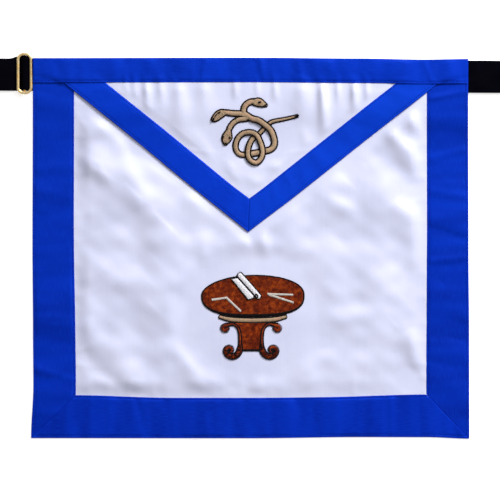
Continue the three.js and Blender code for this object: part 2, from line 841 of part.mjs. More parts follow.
// Under the slide's near bar, over its middle bar and under its far bar
function threadSlide(path, edge) {
  const nearSlot = edge + clearance + slideWire;
  const farSlot = edge + clearance + slideWidth - slideWire;
  const middle = (nearSlot + farSlot) / 2;
  const crest = slideBarWidth / 2 + clearance;
  path.lineTo(nearSlot - slideWire, frontRunHeight);
  path.lineTo(nearSlot + clearance, frontRunHeight);
  easeTo(path, nearSlot + clearance, frontRunHeight, middle - crest, overBarHeight);
  path.lineTo(middle + crest, overBarHeight);
  easeTo(path, middle + crest, overBarHeight, farSlot - clearance, frontRunHeight);
  path.lineTo(farSlot + slideWire, frontRunHeight);
}

// One half of the belt loop, from its sewn tab round the turn and back under the apron to the
// clasp, as a path of (distance outward from the centre line, height)
function beltPath(edge, threaded) {
  const turn = halfWidth + beltReach - beltTurnRadius - strapWall / 2;
  const topHeight = backRunHeight + 2 * beltTurnRadius;
  const rampStart = halfWidth + beltReach * beltFlatShare;
  const claspEnd = claspLength / 2 + clearance;
  const claspRamp = claspEnd + claspRampLength;
  const path = new THREE.Path();
  path.moveTo(halfWidth - beltTabLength, frontRunHeight);
  if (threaded) {
    threadSlide(path, edge);
  }
  path.lineTo(rampStart, frontRunHeight);
  easeTo(path, rampStart, frontRunHeight, turn, topHeight);
  path.absarc(turn, backRunHeight + beltTurnRadius, beltTurnRadius, Math.PI / 2, -Math.PI / 2, true);
  path.lineTo(claspRamp, backRunHeight);
  easeTo(path, claspRamp, backRunHeight, claspEnd, claspRunHeight);
  path.lineTo(beltEndGap / 2, claspRunHeight);
  return path;
}

// The strap is pinched narrower where it passes through the slide
function beltWidthAt(outward, edge, threaded) {
  const fromSlide = Math.abs(outward - edge - clearance - slideWidth / 2) - slideWidth / 2;
  const pinch = 1 - THREE.MathUtils.smoothstep(fromSlide, -slideWire, slideWire);
  return beltWidth - (threaded ? beltPinch * pinch : 0);
}

function belt(side) {
  const edge = -settlePoint(-halfWidth, slideDown, 0).x;
  const threaded = side < 0;
  const points = beltPath(edge, threaded).getPoints(6);
  return wall(1, points.length - 1, (column, row, front) => {
    const here = points[row];
    const before = points[Math.max(row - 1, 0)];
    const after = points[Math.min(row + 1, points.length - 1)];
    const incoming = here.clone().sub(row > 0 ? before : here).normalize();
    const outgoing = after.clone().sub(row < points.length - 1 ? here : after).normalize();
    const tangent = incoming.clone().add(outgoing).normalize();
    const turnShare = row > 0 && row < points.length - 1 ? incoming.dot(tangent) : 1;
    const offset = ((front ? 1 : -1) * strapWall) / 2 / turnShare;
    const outward = here.x - tangent.y * offset;
    const x = side * outward;
    const width = here.y < backRunHeight + strapWall ? beltWidth : beltWidthAt(here.x, edge, threaded);
    const y = topEdgeY - beltDownAt(x) + side * (column - 0.5) * width;
    return new THREE.Vector3(x, y, here.y + tangent.x * offset);
  });
}

function roundedOutline(path, width, height, radius) {
  path.moveTo(-width / 2 + radius, -height / 2);
  path.lineTo(width / 2 - radius, -height / 2);
  path.absarc(width / 2 - radius, -height / 2 + radius, radius, -Math.PI / 2, 0, false);
  path.lineTo(width / 2, height / 2 - radius);
  path.absarc(width / 2 - radius, height / 2 - radius, radius, 0, Math.PI / 2, false);
  path.lineTo(-width / 2 + radius, height / 2);
  path.absarc(-width / 2 + radius, height / 2 - radius, radius, Math.PI / 2, Math.PI, false);
  path.lineTo(-width / 2, -height / 2 + radius);
  path.absarc(-width / 2 + radius, -height / 2 + radius, radius, Math.PI, 1.5 * Math.PI, false);
  return path;
}

// Adjuster slide: a rounded wire frame with a flat bar across its middle
function slide() {
  const outline = roundedOutline(
    new THREE.Shape(),
    slideWidth - 2 * slideBevel,
    slideHeight - 2 * slideBevel,
    slideCornerRadius - slideBevel,
  );
  outline.holes.push(roundedOutline(
    new THREE.Path(),
    slideWidth - 2 * (slideWire - slideBevel),
    slideHeight - 2 * (slideWire - slideBevel),
    slideWindowRadius + slideBevel,
  ));
  const frame = new THREE.ExtrudeGeometry(outline, {
    depth: slideThickness - 2 * slideBevel,
    bevelThickness: slideBevel,
    bevelSize: slideBevel,
    bevelSegments: 1,
    curveSegments: 3,
  });
  frame.translate(0, 0, slideBevel);
  const bar = new THREE.BoxGeometry(slideBarWidth, slideHeight - slideWire, slideBarThickness);
  bar.translate(0, 0, slideBarThickness / 2);
  const edge = settlePoint(-halfWidth, slideDown, 0).x;
  const whole = joined([frame, bar]);
  whole.translate(edge - clearance - slideWidth / 2, topEdgeY - slideDown, slideSeat);
  return whole;
}

// Plain sleeve that holds both ends of the belt behind the waist
function clasp() {
  const innerWidth = beltWidth + 2 * clearance;
  const outline = roundedOutline(
    new THREE.Shape(),
    innerWidth + 2 * claspRim,
    claspHeight,
    claspCornerRadius,
  );
  const slot = new THREE.Path();
  slot.moveTo(-innerWidth / 2, -claspHeight / 2 + claspWall);
  slot.lineTo(innerWidth / 2, -claspHeight / 2 + claspWall);
  slot.lineTo(innerWidth / 2, claspHeight / 2 - claspWall);
  slot.lineTo(-innerWidth / 2, claspHeight / 2 - claspWall);
  slot.closePath();
  outline.holes.push(slot);
  const sleeve = new THREE.ExtrudeGeometry(outline, {
    depth: claspLength,
    bevelEnabled: false,
    curveSegments: 3,
  });
  sleeve.deleteAttribute('normal');
  sleeve.deleteAttribute('uv');
  sleeve.translate(0, 0, -claspLength / 2);
  sleeve.rotateX(Math.PI / 2);
  sleeve.rotateZ(Math.PI / 2);
  sleeve.translate(0, topEdgeY - beltDownAt(0), claspHeight / 2);
  return mergeVertices(sleeve, 1e-4);
}

const satin = finish(0xd9dcf5, 0.42);
const ribbon = finish(0x0b35b0, 0.6);
const elastic = finish(0x0d0c13, 0.85);
const gilt = finish(0xe0b060, 0.3, 1);
const darkThread = finish(0x1c1014, 0.7);
const rustThread = finish(0x7a2a08, 0.6);
const tanThread = finish(0xb29673, 0.6);
const whiteThread = finish(0xe8e8f2, 0.6);

const apron = new THREE.Group();
apron.add(
  piece('body_panel', settle(bodyPanel()), satin.clone()),
  piece('border_left', settle(sideRibbon(-1)), ribbon.clone()),
  piece('border_right', settle(sideRibbon(1)), ribbon.clone()),
  piece('border_bottom', settle(hemRibbon()), ribbon.clone()),
  piece('waistband', settle(waistband()), ribbon.clone()),
  piece('flap_panel', settle(flapPanel()), satin.clone()),
  piece('flap_border_left', settle(flapRibbon(-1)), ribbon.clone()),
  piece('flap_border_right', settle(flapRibbon(1)), ribbon.clone()),
  piece('serpent_outline', settle(serpentOutline()), darkThread.clone()),
  piece('serpent', settle(serpent()), tanThread.clone()),
  piece('table_outline', settle(tableOutline()), darkThread.clone()),
  piece('table_top', settle(tableTop()), rustThread.clone()),
  piece('table_rim', settle(tableRim()), tanThread.clone()),
  piece('table_pedestal', settle(tablePedestal()), rustThread.clone()),
  piece('scroll_page', settle(inlay([scrollPage])), whiteThread.clone()),
  piece('scroll_roll', settle(inlay([scrollRoll])), whiteThread.clone()),
  piece('set_square', settle(inlay(squareStrokes)), whiteThread.clone()),
  piece('compasses', settle(inlay(compassStrokes)), whiteThread.clone()),
  piece('belt_left', belt(-1), elastic.clone()),
  piece('belt_right', belt(1), elastic.clone()),
  piece('slide', slide(), gilt.clone()),
  piece('clasp', clasp(), gilt.clone()),
);

export default apron;
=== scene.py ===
"""A lodge apron that lies flat with its front up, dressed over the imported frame.

The frame is in metres with X along the waist, +Y to the waist and +Z up. The shapes below are
worked out in millimetres: "across" runs along X and "down" is measured from the top edge.
"""

import json
import math

import bmesh
import bpy
import numpy as np
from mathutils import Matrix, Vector

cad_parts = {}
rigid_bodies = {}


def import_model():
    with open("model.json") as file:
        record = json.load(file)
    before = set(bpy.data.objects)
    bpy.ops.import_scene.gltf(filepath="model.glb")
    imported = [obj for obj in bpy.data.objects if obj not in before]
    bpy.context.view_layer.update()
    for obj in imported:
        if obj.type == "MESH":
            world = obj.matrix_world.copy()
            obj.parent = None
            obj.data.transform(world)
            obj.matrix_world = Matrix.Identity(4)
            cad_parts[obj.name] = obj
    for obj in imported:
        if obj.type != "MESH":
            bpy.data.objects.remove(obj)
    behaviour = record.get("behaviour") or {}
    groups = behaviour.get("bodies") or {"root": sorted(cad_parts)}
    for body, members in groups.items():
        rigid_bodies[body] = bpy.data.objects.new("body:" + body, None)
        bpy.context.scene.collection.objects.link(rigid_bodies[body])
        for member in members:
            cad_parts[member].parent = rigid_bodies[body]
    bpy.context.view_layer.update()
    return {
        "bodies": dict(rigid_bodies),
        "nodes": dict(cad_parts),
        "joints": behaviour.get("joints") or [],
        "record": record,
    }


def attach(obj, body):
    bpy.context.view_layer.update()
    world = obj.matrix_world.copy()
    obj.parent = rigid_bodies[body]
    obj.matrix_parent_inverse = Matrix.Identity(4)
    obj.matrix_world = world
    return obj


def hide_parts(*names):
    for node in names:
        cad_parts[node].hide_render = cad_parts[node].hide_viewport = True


MM = 0.001

# Apron, flap and belt, as in the part, in millimetres
APRON_WIDTH = 406.4
APRON_HEIGHT = 355.6
SIDE_RIBBON = 38.6
HEM_RIBBON = 38.6
BAND_HEIGHT = 23
FLAP_DROP = 163
FLAP_RIBBON = 24.5
FLAP_TIP_RISE = 0.6
EDGE_WANDER = 2
CLEARANCE = 0.3
WAIST_RISE = 3.1
BELT_ZONE = 35.6
PANEL_REST = 89.6
FOLD_INSET = 1.3
PANEL_RISE = 3.2
BELT_WIDTH = 30
BELT_REACH = 72
BELT_DOWN = (15.8, 17.6)
BELT_TAB = 22
BELT_FLAT_SHARE = 0.46
STRAP = 1.2
TURN_RADIUS = 2.4
SLIDE_DOWN = 14.7
SLIDE_WIDTH = 14.7
SLIDE_HEIGHT = 38.6
SLIDE_WIRE = 2.6
SLIDE_THICKNESS = 1.8
SLIDE_CORNER = 6.4
SLIDE_SEAT = 3.0
BAR_WIDTH = 2
BAR_THICKNESS = 1

# The visible cloth is thinner than the part's walls, so the flap and the waistband lie lower
SATIN_WALL = 0.5
RIBBON_WALL = 0.5
LEAF_GAP = 0.15
FLAP_SEAT = 4.4
BAND_ON_FLAP = 5.95
BAND_ON_BORDER = 4.9

# Small departures from the part that the photo shows
HEM_SPREAD = (0.98, 1.045)
SIDE_SPREAD = 1.034
TIP_LEAN = 2.0
MITRE_LAP = 0.6
TIP_LAP = 0.2

HALF_WIDTH = APRON_WIDTH / 2
TOP_EDGE_Y = (APRON_HEIGHT - (SLIDE_HEIGHT / 2 - SLIDE_DOWN)) / 2
FLAP_EDGE = math.hypot(HALF_WIDTH, FLAP_DROP)
FLAP_LEVEL = FLAP_DROP * SIDE_RIBBON / HALF_WIDTH + 3
FLAP_INNER_TIP = FLAP_DROP - FLAP_RIBBON * FLAP_EDGE / HALF_WIDTH

# How the outline strays from a rectangle, as shares of EDGE_WANDER
SIDE_WANDER = {
    "at": [0, 0.5, 0.72, 0.86, 1],
    "left": [0.5, 0.25, 0.5, 0.65, -0.4],
    "right": [0.45, 0.2, -0.1, -0.15, -0.2],
}
END_WANDER = {
    "at": [-1, 0, 0.5, 0.8, 1],
    "top": [0.2, 0, 0.4, 0.9, 0.6],
    "hem": [0.95, 0.9, 1.45, 1.4, 0.7],
}

# Folds of the main panel: crest from and to, as shares of half the width and of the height, with
# the rise and the reach of the slope on the side of the light and on the far side, in millimetres
PANEL_FOLDS = [
    # across, down, to across, to down, rise, near reach, far reach
    (-0.798, 0.157, -0.762, 0.178, 1.0, 3, 5),
    (-0.725, 0.267, -0.652, 0.325, 0.6, 3.5, 7),
    (-0.688, 0.299, -0.459, 0.400, 0.5, 4, 9),
    (-0.80, 0.235, -0.46, 0.39, 2.7, 13, 24),
    (-0.46, 0.39, -0.30, 0.60, 2.3, 16, 26),
    (-0.80, 0.21, -0.66, 0.17, 1.4, 7, 8),
    (-0.62, 0.22, -0.50, 0.36, 1.3, 8, 10),
    (-0.81, 0.262, -0.70, 0.285, 0.8, 5, 10),
    (-0.82, 0.50, -0.50, 0.62, 1.5, 11, 17),
    (-0.80, 0.70, -0.48, 0.88, 3.0, 13, 13),
    (-0.72, 0.84, -0.62, 0.875, 1.0, 6, 7),
    (-0.32, 0.79, -0.21, 0.88, 1.8, 8, 9),
    (0.60, 0.17, 0.78, 0.29, 3.6, 8, 10),
    (0.72, 0.14, 0.82, 0.21, 2.2, 5, 6),
    (0.56, 0.30, 0.66, 0.37, 2.0, 10, 13),
    (0.50, 0.355, 0.80, 0.425, 3.0, 12, 15),
    (0.34, 0.37, 0.46, 0.40, 1.3, 7, 9),
    (0.05, 0.465, 0.08, 0.56, 2.3, 6, 7),
    (-0.24, 0.46, -0.20, 0.53, 1.2, 7, 8),
    (0.04, 0.79, 0.03, 0.89, 1.7, 6, 7),
    (-0.08, 0.78, -0.05, 0.87, 1.3, 7, 7),
    (0.70, 0.72, 0.81, 0.82, 2.4, 9, 12),
    (0.26, 0.69, 0.78, 0.66, 1.3, 9, 9),
    (0.46, 0.52, 0.64, 0.60, 1.5, 14, 17),
    (-0.36, 0.57, -0.18, 0.66, 1.6, 14, 17),
    (-0.40, 0.62, -0.36, 0.86, 1.5, 15, 20),
    (0.20, 0.80, 0.30, 0.86, 1.0, 8, 9),
]

# Gathers that run down from the waistband: place and lean as shares of half the width, reach as a
# share of the flap's drop, and rise and spread in millimetres
FLAP_GATHERS = [
    # across, lean, reach, rise, spread
    (-0.574, 0.00, 0.22, 1.2, 2.6),
    (-0.533, 0.01, 0.24, 1.3, 2.8),
    (-0.478, 0.02, 0.32, 1.8, 3.0),
    (-0.412, 0.01, 0.28, 1.5, 3.2),
    (-0.330, 0.02, 0.46, 1.7, 6.0),
    (-0.215, -0.01, 0.36, 1.4, 6.0),
    (-0.070, 0.00, 0.27, 1.4, 3.0),
    (0.030, 0.01, 0.24, 1.0, 2.6),
    (0.112, 0.00, 0.28, 1.3, 3.0),
    (0.235, 0.01, 0.38, 1.5, 6.5),
    (0.326, 0.05, 0.50, 2.3, 3.6),
    (0.400, 0.02, 0.28, 1.3, 2.8),
    (0.474, 0.03, 0.36, 2.1, 3.2),
    (0.534, 0.02, 0.28, 1.4, 2.6),
]

# Faint creases in the lower part of the flap, in the layout of PANEL_FOLDS but with the flap's drop
FLAP_CREASES = [
    (-0.10, 0.60, -0.05, 0.70, 0.7, 5, 6),
    (0.08, 0.58, 0.16, 0.68, 0.8, 5, 6),
    (-0.02, 0.68, 0.10, 0.76, 0.6, 5, 5),
    (-0.26, 0.44, -0.18, 0.56, 0.6, 6, 7),
    (0.22, 0.40, 0.28, 0.52, 0.7, 6, 7),
]

random = np.random.default_rng(1889)


# Shaping helpers, on numbers or numpy arrays


def smooth(value, low, high):
    share = np.clip((value - low) / (high - low), 0, 1)
    return share * share * (3 - 2 * share)


def lerp(a, b, share):
    return a + (b - a) * share


def follow(table, column, at):
    """A value read between the rows of a table, eased so that it has no kinks."""
    places = np.array(table["at"], float)
    values = np.array(table[column], float)
    at = np.clip(at, places[0], places[-1])
    index = np.clip(np.searchsorted(places, at) - 1, 0, len(places) - 2)
    share = smooth(at, places[index], places[index + 1])
    return lerp(values[index], values[index + 1], share)


def settle(across, down, height):
    """The place of plan points once the cloth has settled, with its outline a little astray."""
    across, down, height = np.broadcast_arrays(across, down, height)
    side = across / HALF_WIDTH
    share = down / APRON_HEIGHT
    left = follow(SIDE_WANDER, "left", share)
    right = follow(SIDE_WANDER, "right", share)
    inset = EDGE_WANDER * np.where(side < 0, left, right)
    from_top = EDGE_WANDER * follow(END_WANDER, "top", side) * (1 - share)
    from_hem = EDGE_WANDER * follow(END_WANDER, "hem", side) * share
    y = TOP_EDGE_Y - down - from_top + from_hem
    return np.stack([across - side * inset, y, height], axis=-1)


def flap_inset(across, down):
    """How far a plan point lies inside the flap's slanted edge, negative outside it."""
    edge_across = HALF_WIDTH * (1 - down / FLAP_DROP)
    return (edge_across - np.abs(across)) * FLAP_DROP / FLAP_EDGE


def leaning(across, down):
    """A plan point of the flap once its tip hangs a little to the left, its left side first."""
    left = smooth(down / FLAP_DROP, 0.38, 0.76)
    right = smooth(down / FLAP_DROP, 0.76, 1)
    return across - TIP_LEAN * lerp(left, right, smooth(across, -20, 20))


def panel_under(down):
    return WAIST_RISE * (1 - smooth(down, BELT_ZONE, PANEL_REST))


def flap_under(down):
    """Underside of the flap, which settles on the panel below the side ribbons."""
    settled = panel_under(down) + SATIN_WALL + FLAP_TIP_RISE
    return lerp(FLAP_SEAT, settled, smooth(down, FLAP_LEVEL, FLAP_LEVEL + 32))


def waves(across, down, seed, length, count=7):
    """Soft seeded undulation, between about -1 and 1, of roughly the given wavelength."""
    draw = np.random.default_rng(seed)
    total = 0
    for _ in range(count):
        angle = draw.uniform(0, 2 * math.pi)
        number = 2 * math.pi / (length * draw.uniform(0.7, 1.5))
        phase = draw.uniform(0, 2 * math.pi)
        total = total + np.sin(number * (across * math.cos(angle) + down * math.sin(angle)) + phase)
    return total / math.sqrt(count) / 1.4


def ridges(folds, across, down, drop):
    """The summed height of straight soft folds, steeper on the side that faces the light."""
    total = 0
    for start_x, start_y, end_x, end_y, rise, near, far in folds:
        start = np.array([start_x * HALF_WIDTH, start_y * drop])
        along = np.array([end_x * HALF_WIDTH, end_y * drop]) - start
        length = np.hypot(*along)
        unit = along / length
        x = across - start[0]
        y = down - start[1]
        place = np.clip(x * unit[0] + y * unit[1], 0, length)
        away_x = x - place * unit[0]
        away_y = y - place * unit[1]
        away = np.hypot(away_x, away_y)
        lit = (away_x - away_y) > 0
        reach = np.where(lit, near, far)
        taper = 1 - 0.5 * np.abs(2 * place / length - 1) ** 3
        bend = 1 + 0.12 * waves(across, down, int(97 * rise + near), 40, 3)
        total = total + rise * taper * np.exp(-((away * bend / reach) ** 2))
    return total


# Settled heights of the cloth tops


def clear_of(across, down, centre, size, margin=14):
    """0 where an emblem keeps the cloth smooth, rising to 1 outside it."""
    x = (across - centre[0]) / (size[0] / 2 + margin)
    y = (down - centre[1]) / (size[1] / 2 + margin)
    return smooth(np.hypot(x, y), 0.95, 1.3)


# The emblems' width and height, and their centres as (across, down)
SERPENT_SIZE = (82.3, 62.8)
SERPENT_CENTRE = (4.3, lerp(BAND_HEIGHT, FLAP_INNER_TIP, 0.41) + 0.9)
TABLE_SIZE = (95.9, 81.5)
TABLE_CENTRE = (1.9, (FLAP_DROP + APRON_HEIGHT - HEM_RIBBON) / 2 + 1.3)


def edge_ticks(along, away, seed, length, rise):
    """Short puckers that stand on a sewn edge, as a height at (along, away) from it."""
    draw = np.random.default_rng(seed)
    total = 0
    place = draw.uniform(4, 16)
    while place < length:
        size = rise * draw.uniform(0.35, 1)
        width = draw.uniform(2.2, 5)
        reach = draw.uniform(5, 15)
        slant = draw.uniform(-0.35, 0.35)
        across = (along - place - slant * away) / width
        total = total + size * np.exp(-(across**2)) * np.exp(-np.maximum(away, 0) / reach)
        place += draw.uniform(9, 27)
    return total


def panel_top(across, down):
    """Top of the main panel: folds where it lies free, and puckers along its sewn edges."""
    from_left = HALF_WIDTH - SIDE_RIBBON + across
    from_right = HALF_WIDTH - SIDE_RIBBON - across
    from_hem = APRON_HEIGHT - HEM_RIBBON - down
    from_flap = -flap_inset(across, down)
    inside = np.minimum(np.minimum(from_left, from_right), from_hem)
    free = smooth(inside, 0, 16) * smooth(from_flap, 0, 12)
    shown = clear_of(across, down, TABLE_CENTRE, TABLE_SIZE)
    height = ridges(PANEL_FOLDS, across, down, APRON_HEIGHT)
    height = height + 1.2 * (1 + waves(across, down, 11, 84)) + 0.85 * waves(across, down, 13, 44)
    height = height + 0.3 * waves(across, down, 12, 24)
    folds = np.minimum(height, 1.9 * PANEL_RISE) * free * lerp(0.1, 1, shown)
    ticks = edge_ticks(down, from_left, 21, APRON_HEIGHT, 0.75)
    ticks = ticks + edge_ticks(down, from_right, 22, APRON_HEIGHT, 0.6)
    ticks = ticks + edge_ticks(across + HALF_WIDTH, from_hem, 23, APRON_WIDTH, 0.6)
    held = smooth(inside, -0.5, 3) * smooth(from_flap, 0, 8) * shown
    total = folds + ticks * held
    # An eased limit at 0, so that no hollow of the cloth goes below the floor
    return panel_under(down) + SATIN_WALL + (total + np.sqrt(total**2 + 0.04)) / 2


def flap_top(across, down):
    """Top of the flap: gathers below the waistband, which presses them flat, and faint creases."""
    inside = flap_inset(across, down) - FLAP_RIBBON
    free = smooth(inside, 0, 9)
    shown = clear_of(across, down, SERPENT_CENTRE, SERPENT_SIZE, -3)
    below = down - BAND_HEIGHT
    grow = 0.55 + 0.45 * smooth(below, 0, 9)
    total = 0
    for place, lean, reach, rise, spread in FLAP_GATHERS:
        centre = (place + lean * below / FLAP_DROP) * HALF_WIDTH
        wide = spread * (1 + 0.5 * smooth(below, 0, 40))
        fade = 1 - smooth(down / FLAP_DROP, 0.42 * reach, reach * 1.12)
        total = total + 1.35 * rise * np.exp(-(((across - centre) / wide) ** 2)) * fade
    creases = ridges(FLAP_CREASES, across, down, FLAP_DROP) + 0.35 * (1 + waves(across, down, 31, 52))
    creases = creases + 0.12 * waves(across, down, 33, 26)
    ticks = edge_ticks(down, inside, 32, FLAP_DROP, 0.35) * smooth(inside, -0.5, 3)
    lift = (total * grow + creases) * free * lerp(0.12, 1, shown) + ticks
    pressed = np.minimum(lift, lerp(0.15, 1.15, smooth(down, 8, BAND_HEIGHT)))
    return flap_under(down) + SATIN_WALL + np.where(down < BAND_HEIGHT, pressed, lift)


# Mesh making


def mesh_object(name, points, faces, tint=None):
    """An object from points in millimetres and index arrays, one array for each kind of face."""
    mesh = bpy.data.meshes.new(name)
    points = np.asarray(points, float).reshape(-1, 3)
    mesh.vertices.add(len(points))
    mesh.vertices.foreach_set("co", (points * MM).astype(np.float32).ravel())
    faces = [np.asarray(f, np.int32) for f in faces]
    corners = np.concatenate([f.ravel() for f in faces])
    sizes = np.concatenate([np.full(len(f), f.shape[1], np.int32) for f in faces])
    starts = np.concatenate([[0], np.cumsum(sizes)[:-1]]).astype(np.int32)
    mesh.loops.add(len(corners))
    mesh.loops.foreach_set("vertex_index", corners)
    mesh.polygons.add(len(sizes))
    mesh.polygons.foreach_set("loop_start", starts)
    mesh.polygons.foreach_set("use_smooth", np.ones(len(sizes), bool))
    if tint is not None:
        attribute = mesh.attributes.new("tint", "FLOAT", "POINT")
        attribute.data.foreach_set("value", np.asarray(tint, np.float32))
    mesh.update(calc_edges=True)
    mesh.validate()
    return linked(name, mesh)


def linked(name, data):
    """A new object in the scene for its data."""
    obj = bpy.data.objects.new(name, data)
    bpy.context.scene.collection.objects.link(obj)
    return obj


def dress(obj, material, slot, *nodes):
    """Gives a piece its material, its body and the nodes that it stands for. slot is not used."""
    obj.data.materials.clear()
    obj.data.materials.append(material)
    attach(obj, "root")
    if nodes:
        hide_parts(*nodes)
    return obj


def grid_faces(rows, columns, offset=0):
    index = np.arange(rows * columns).reshape(rows, columns) + offset
    corners = [index[:-1, :-1], index[1:, :-1], index[1:, 1:], index[:-1, 1:]]
    return np.stack(corners, axis=-1).reshape(-1, 4)


def cloth(name, top):
    """A closed thin sheet from its top surface, an array of rows and columns of points."""
    rows, columns = top.shape[:2]
    bottom = top - np.array([0, 0, 0.9 * SATIN_WALL])
    count = rows * columns
    upper = grid_faces(rows, columns)
    lower = grid_faces(rows, columns, count)[:, ::-1]
    index = np.arange(count).reshape(rows, columns)
    ring = np.concatenate([index[0, :-1], index[:-1, -1], index[-1, :0:-1], index[:0:-1, 0]])
    after = np.roll(ring, -1)
    rim = np.stack([ring, after, after + count, ring + count], axis=-1)
    points = np.concatenate([top.reshape(-1, 3), bottom.reshape(-1, 3)])
    return mesh_object(name, points, [upper, lower, rim])


def swept(name, rings):
    """A closed solid through rings of points, an array of stations and ring points."""
    stations, around = rings.shape[:2]
    index = np.arange(stations * around).reshape(stations, around)
    after = np.roll(index, -1, axis=1)
    walls = np.stack([index[:-1], after[:-1], after[1:], index[1:]], axis=-1).reshape(-1, 4)
    caps = np.stack([index[0][::-1], index[-1]])
    return mesh_object(name, rings, [walls, caps])


# Main panel and flap of satin


def steps(places, counts):
    """Divides each stretch between places evenly, as one increasing array."""
    spans = zip(places[:-1], places[1:], counts)
    parts = [np.linspace(a, b, n, endpoint=False) for a, b, n in spans]
    return np.concatenate([*parts, [places[-1]]])


def body_satin():
    """The main panel, coarse under its ribbons and fine where it shows."""
    edge = HALF_WIDTH - FOLD_INSET
    inner = HALF_WIDTH - SIDE_RIBBON
    across = steps([-edge, -inner - 2, inner + 2, edge], [8, 160, 8])
    hem = APRON_HEIGHT - HEM_RIBBON
    down = steps([FOLD_INSET, 24, hem + 2, APRON_HEIGHT - FOLD_INSET], [6, 142, 8])
    x, y = np.meshgrid(across, down)
    return cloth("body_satin", settle(x, y, panel_top(x, y)))


def flap_satin():
    """The flap's panel, with columns that run together towards its tip."""
    tip = FLAP_DROP - FOLD_INSET * FLAP_EDGE / HALF_WIDTH
    down = steps([FOLD_INSET, BAND_HEIGHT - 2, FLAP_INNER_TIP + 3, tip - 1], [4, 78, 8])
    half = HALF_WIDTH * (1 - down / FLAP_DROP) - FOLD_INSET * FLAP_EDGE / FLAP_DROP
    shown = np.maximum(half - (FLAP_RIBBON - 3) * FLAP_EDGE / FLAP_DROP, half * 0.3)
    share = steps([-1, 1], [230])
    middle = shown[:, None] * share[None, :]
    side = steps([0, 1], [4])[1:]
    right = shown[:, None] + (half - shown)[:, None] * side[None, :]
    across = np.concatenate([-right[:, ::-1], middle, right], axis=1)
    y = np.broadcast_to(down[:, None], across.shape)
    return cloth("flap_satin", settle(leaning(across, y), y, flap_top(across, y)))


# Ribbons folded over the cloth edges. Their grooves are kept for the topstitching.
SEAM_LINES = []


def ribbon_ring(width, grooves):
    """The closed section of a folded ribbon as (inward, layer, height, face): layer 0 is measured
    from the seat of the fold, layer 1 from the underside of the leaf, and face 1 is its top."""
    wall = RIBBON_WALL
    inward = steps([2.2, width - 2.2], [max(6, int(width / 1.9))])
    marks = np.concatenate([[g - 0.7, g - 0.3, g, g + 0.3, g + 0.7] for g in grooves])
    inward = np.unique(np.round(np.concatenate([inward, marks]), 3))
    top = [(u, 1, wall * (1 - 0.2 * smooth(u, width - 4, width - 1.5)), 1) for u in inward]
    start = [(1.0, 0, 0, 0), (0.35, 0, 0.1, 0), (0.02, 0, 0.45, 0), (0, 1, -0.1, 0)]
    start += [(0.1, 1, 0.5 * wall, 0), (0.45, 1, 0.86 * wall, 0), (1.1, 1, wall, 0)]
    end = [(0.9, 0.76 * wall), (0.35, 0.64 * wall), (0.06, 0.42 * wall)]
    end += [(0, 0.14), (0.2, -0.02), (0.9, -0.08)]
    end = [(width - before, 1, height, 0) for before, height in end]
    under = [(u, 1, -0.08, 0) for u in np.linspace(width - 4, 1.6, 5)]
    return np.array([*start, *top, *end, *under, (1.15, 1, -0.15, 0), (1.08, 0, 0.3, 0)])


def transverse(along, inward, seed, length, rise):
    """Soft puckers across a ribbon, where its stitching draws it in."""
    draw = np.random.default_rng(seed)
    total = 0
    place = draw.uniform(0, 14)
    while place < length:
        size = rise * draw.uniform(0.2, 1) * draw.choice([-1, 1], p=[0.35, 0.65])
        width = draw.uniform(2.8, 10)
        slant = draw.uniform(-0.3, 0.3)
        bias = draw.uniform(-1, 1)
        side = 1 + 0.5 * bias * np.tanh((inward - 18) / 10)
        total = total + size * side * np.exp(-(((along - place - slant * inward) / width) ** 2))
        place += draw.uniform(7, 20)
    return total


def folded_ribbon(name, width, stations, plan, seat, leaf, seed, grooves, pucker,
                  seams=(0.5, 0.5), free=lambda x, y: 1):
    """A ribbon over an edge. plan(share, inward) gives plan points, the place along and the length,
    and seat and leaf the undersides of its fold and of its leaf. It sinks by seams at its ends, and
    puckers where free says so."""
    ring = ribbon_ring(width, grooves)
    inward, layer, height, face = ring.T
    share = stations[:, None]
    across, down, along, length = plan(share, inward[None, :])
    low = seat(across, down)
    high = leaf(across, down)
    z = np.where(layer == 0, low, high) + height
    front = smooth(height, 0.1, 0.4) * layer
    held = smooth(inward, 0.5, 4) * smooth(width - inward, 0.3, 4)
    shape = transverse(along, inward, seed, 500, 1.3 * pucker) * lerp(0.35, 1, held)
    for groove in grooves:
        shape = shape - 0.2 * np.exp(-(((inward - groove) / 0.5) ** 2))
    shape = (shape + 0.18 * waves(across, down, seed + 50, 33)) * free(across, down)
    shape = np.maximum(shape, -0.22)
    for end, depth in zip((0, 1), seams):
        away = np.abs(share - end) * length
        shape = shape - depth * np.exp(-((away / 0.8) ** 2))
    z = z + np.clip(shape, -0.45, 1.2) * front
    rings = settle(across, down, z)
    for groove in grooves:
        column = int(np.argmin(np.abs(inward - groove) + 9 * (1 - face)))
        SEAM_LINES.append(rings[:, column])
    return swept(name, rings)


def seam_stations(length, spacing, side=-1):
    """Shares along a ribbon, closer together at its ends. A right-hand ribbon runs backwards, so
    that its faces turn outwards as on the left."""
    close = np.array([0, 0.35, 0.7, 1.1, 1.7, 2.6]) / length
    middle = np.linspace(close[-1], 1 - close[-1], max(2, int(length / spacing)))
    stations = np.unique(np.concatenate([close, middle, 1 - close]))
    return stations[::-1] if side > 0 else stations


def hem_share(across):
    """How much wider or narrower than its width the hem ribbon lies: a little wider at its ends."""
    return lerp(*HEM_SPREAD, smooth(np.abs(across) / HALF_WIDTH, 0.35, 0.82))


def side_share(down):
    """The same for a side ribbon, which widens a little towards the hem."""
    return lerp(1.0, SIDE_SPREAD, smooth(down / APRON_HEIGHT, 0.4, 0.85))


def seat_and_leaf(under):
    """The seat and leaf of a ribbon round a sheet whose underside is under(down)."""
    return (lambda x, y: under(y) + 0 * x), (lambda x, y: under(y) + 0 * x + SATIN_WALL + LEAF_GAP)


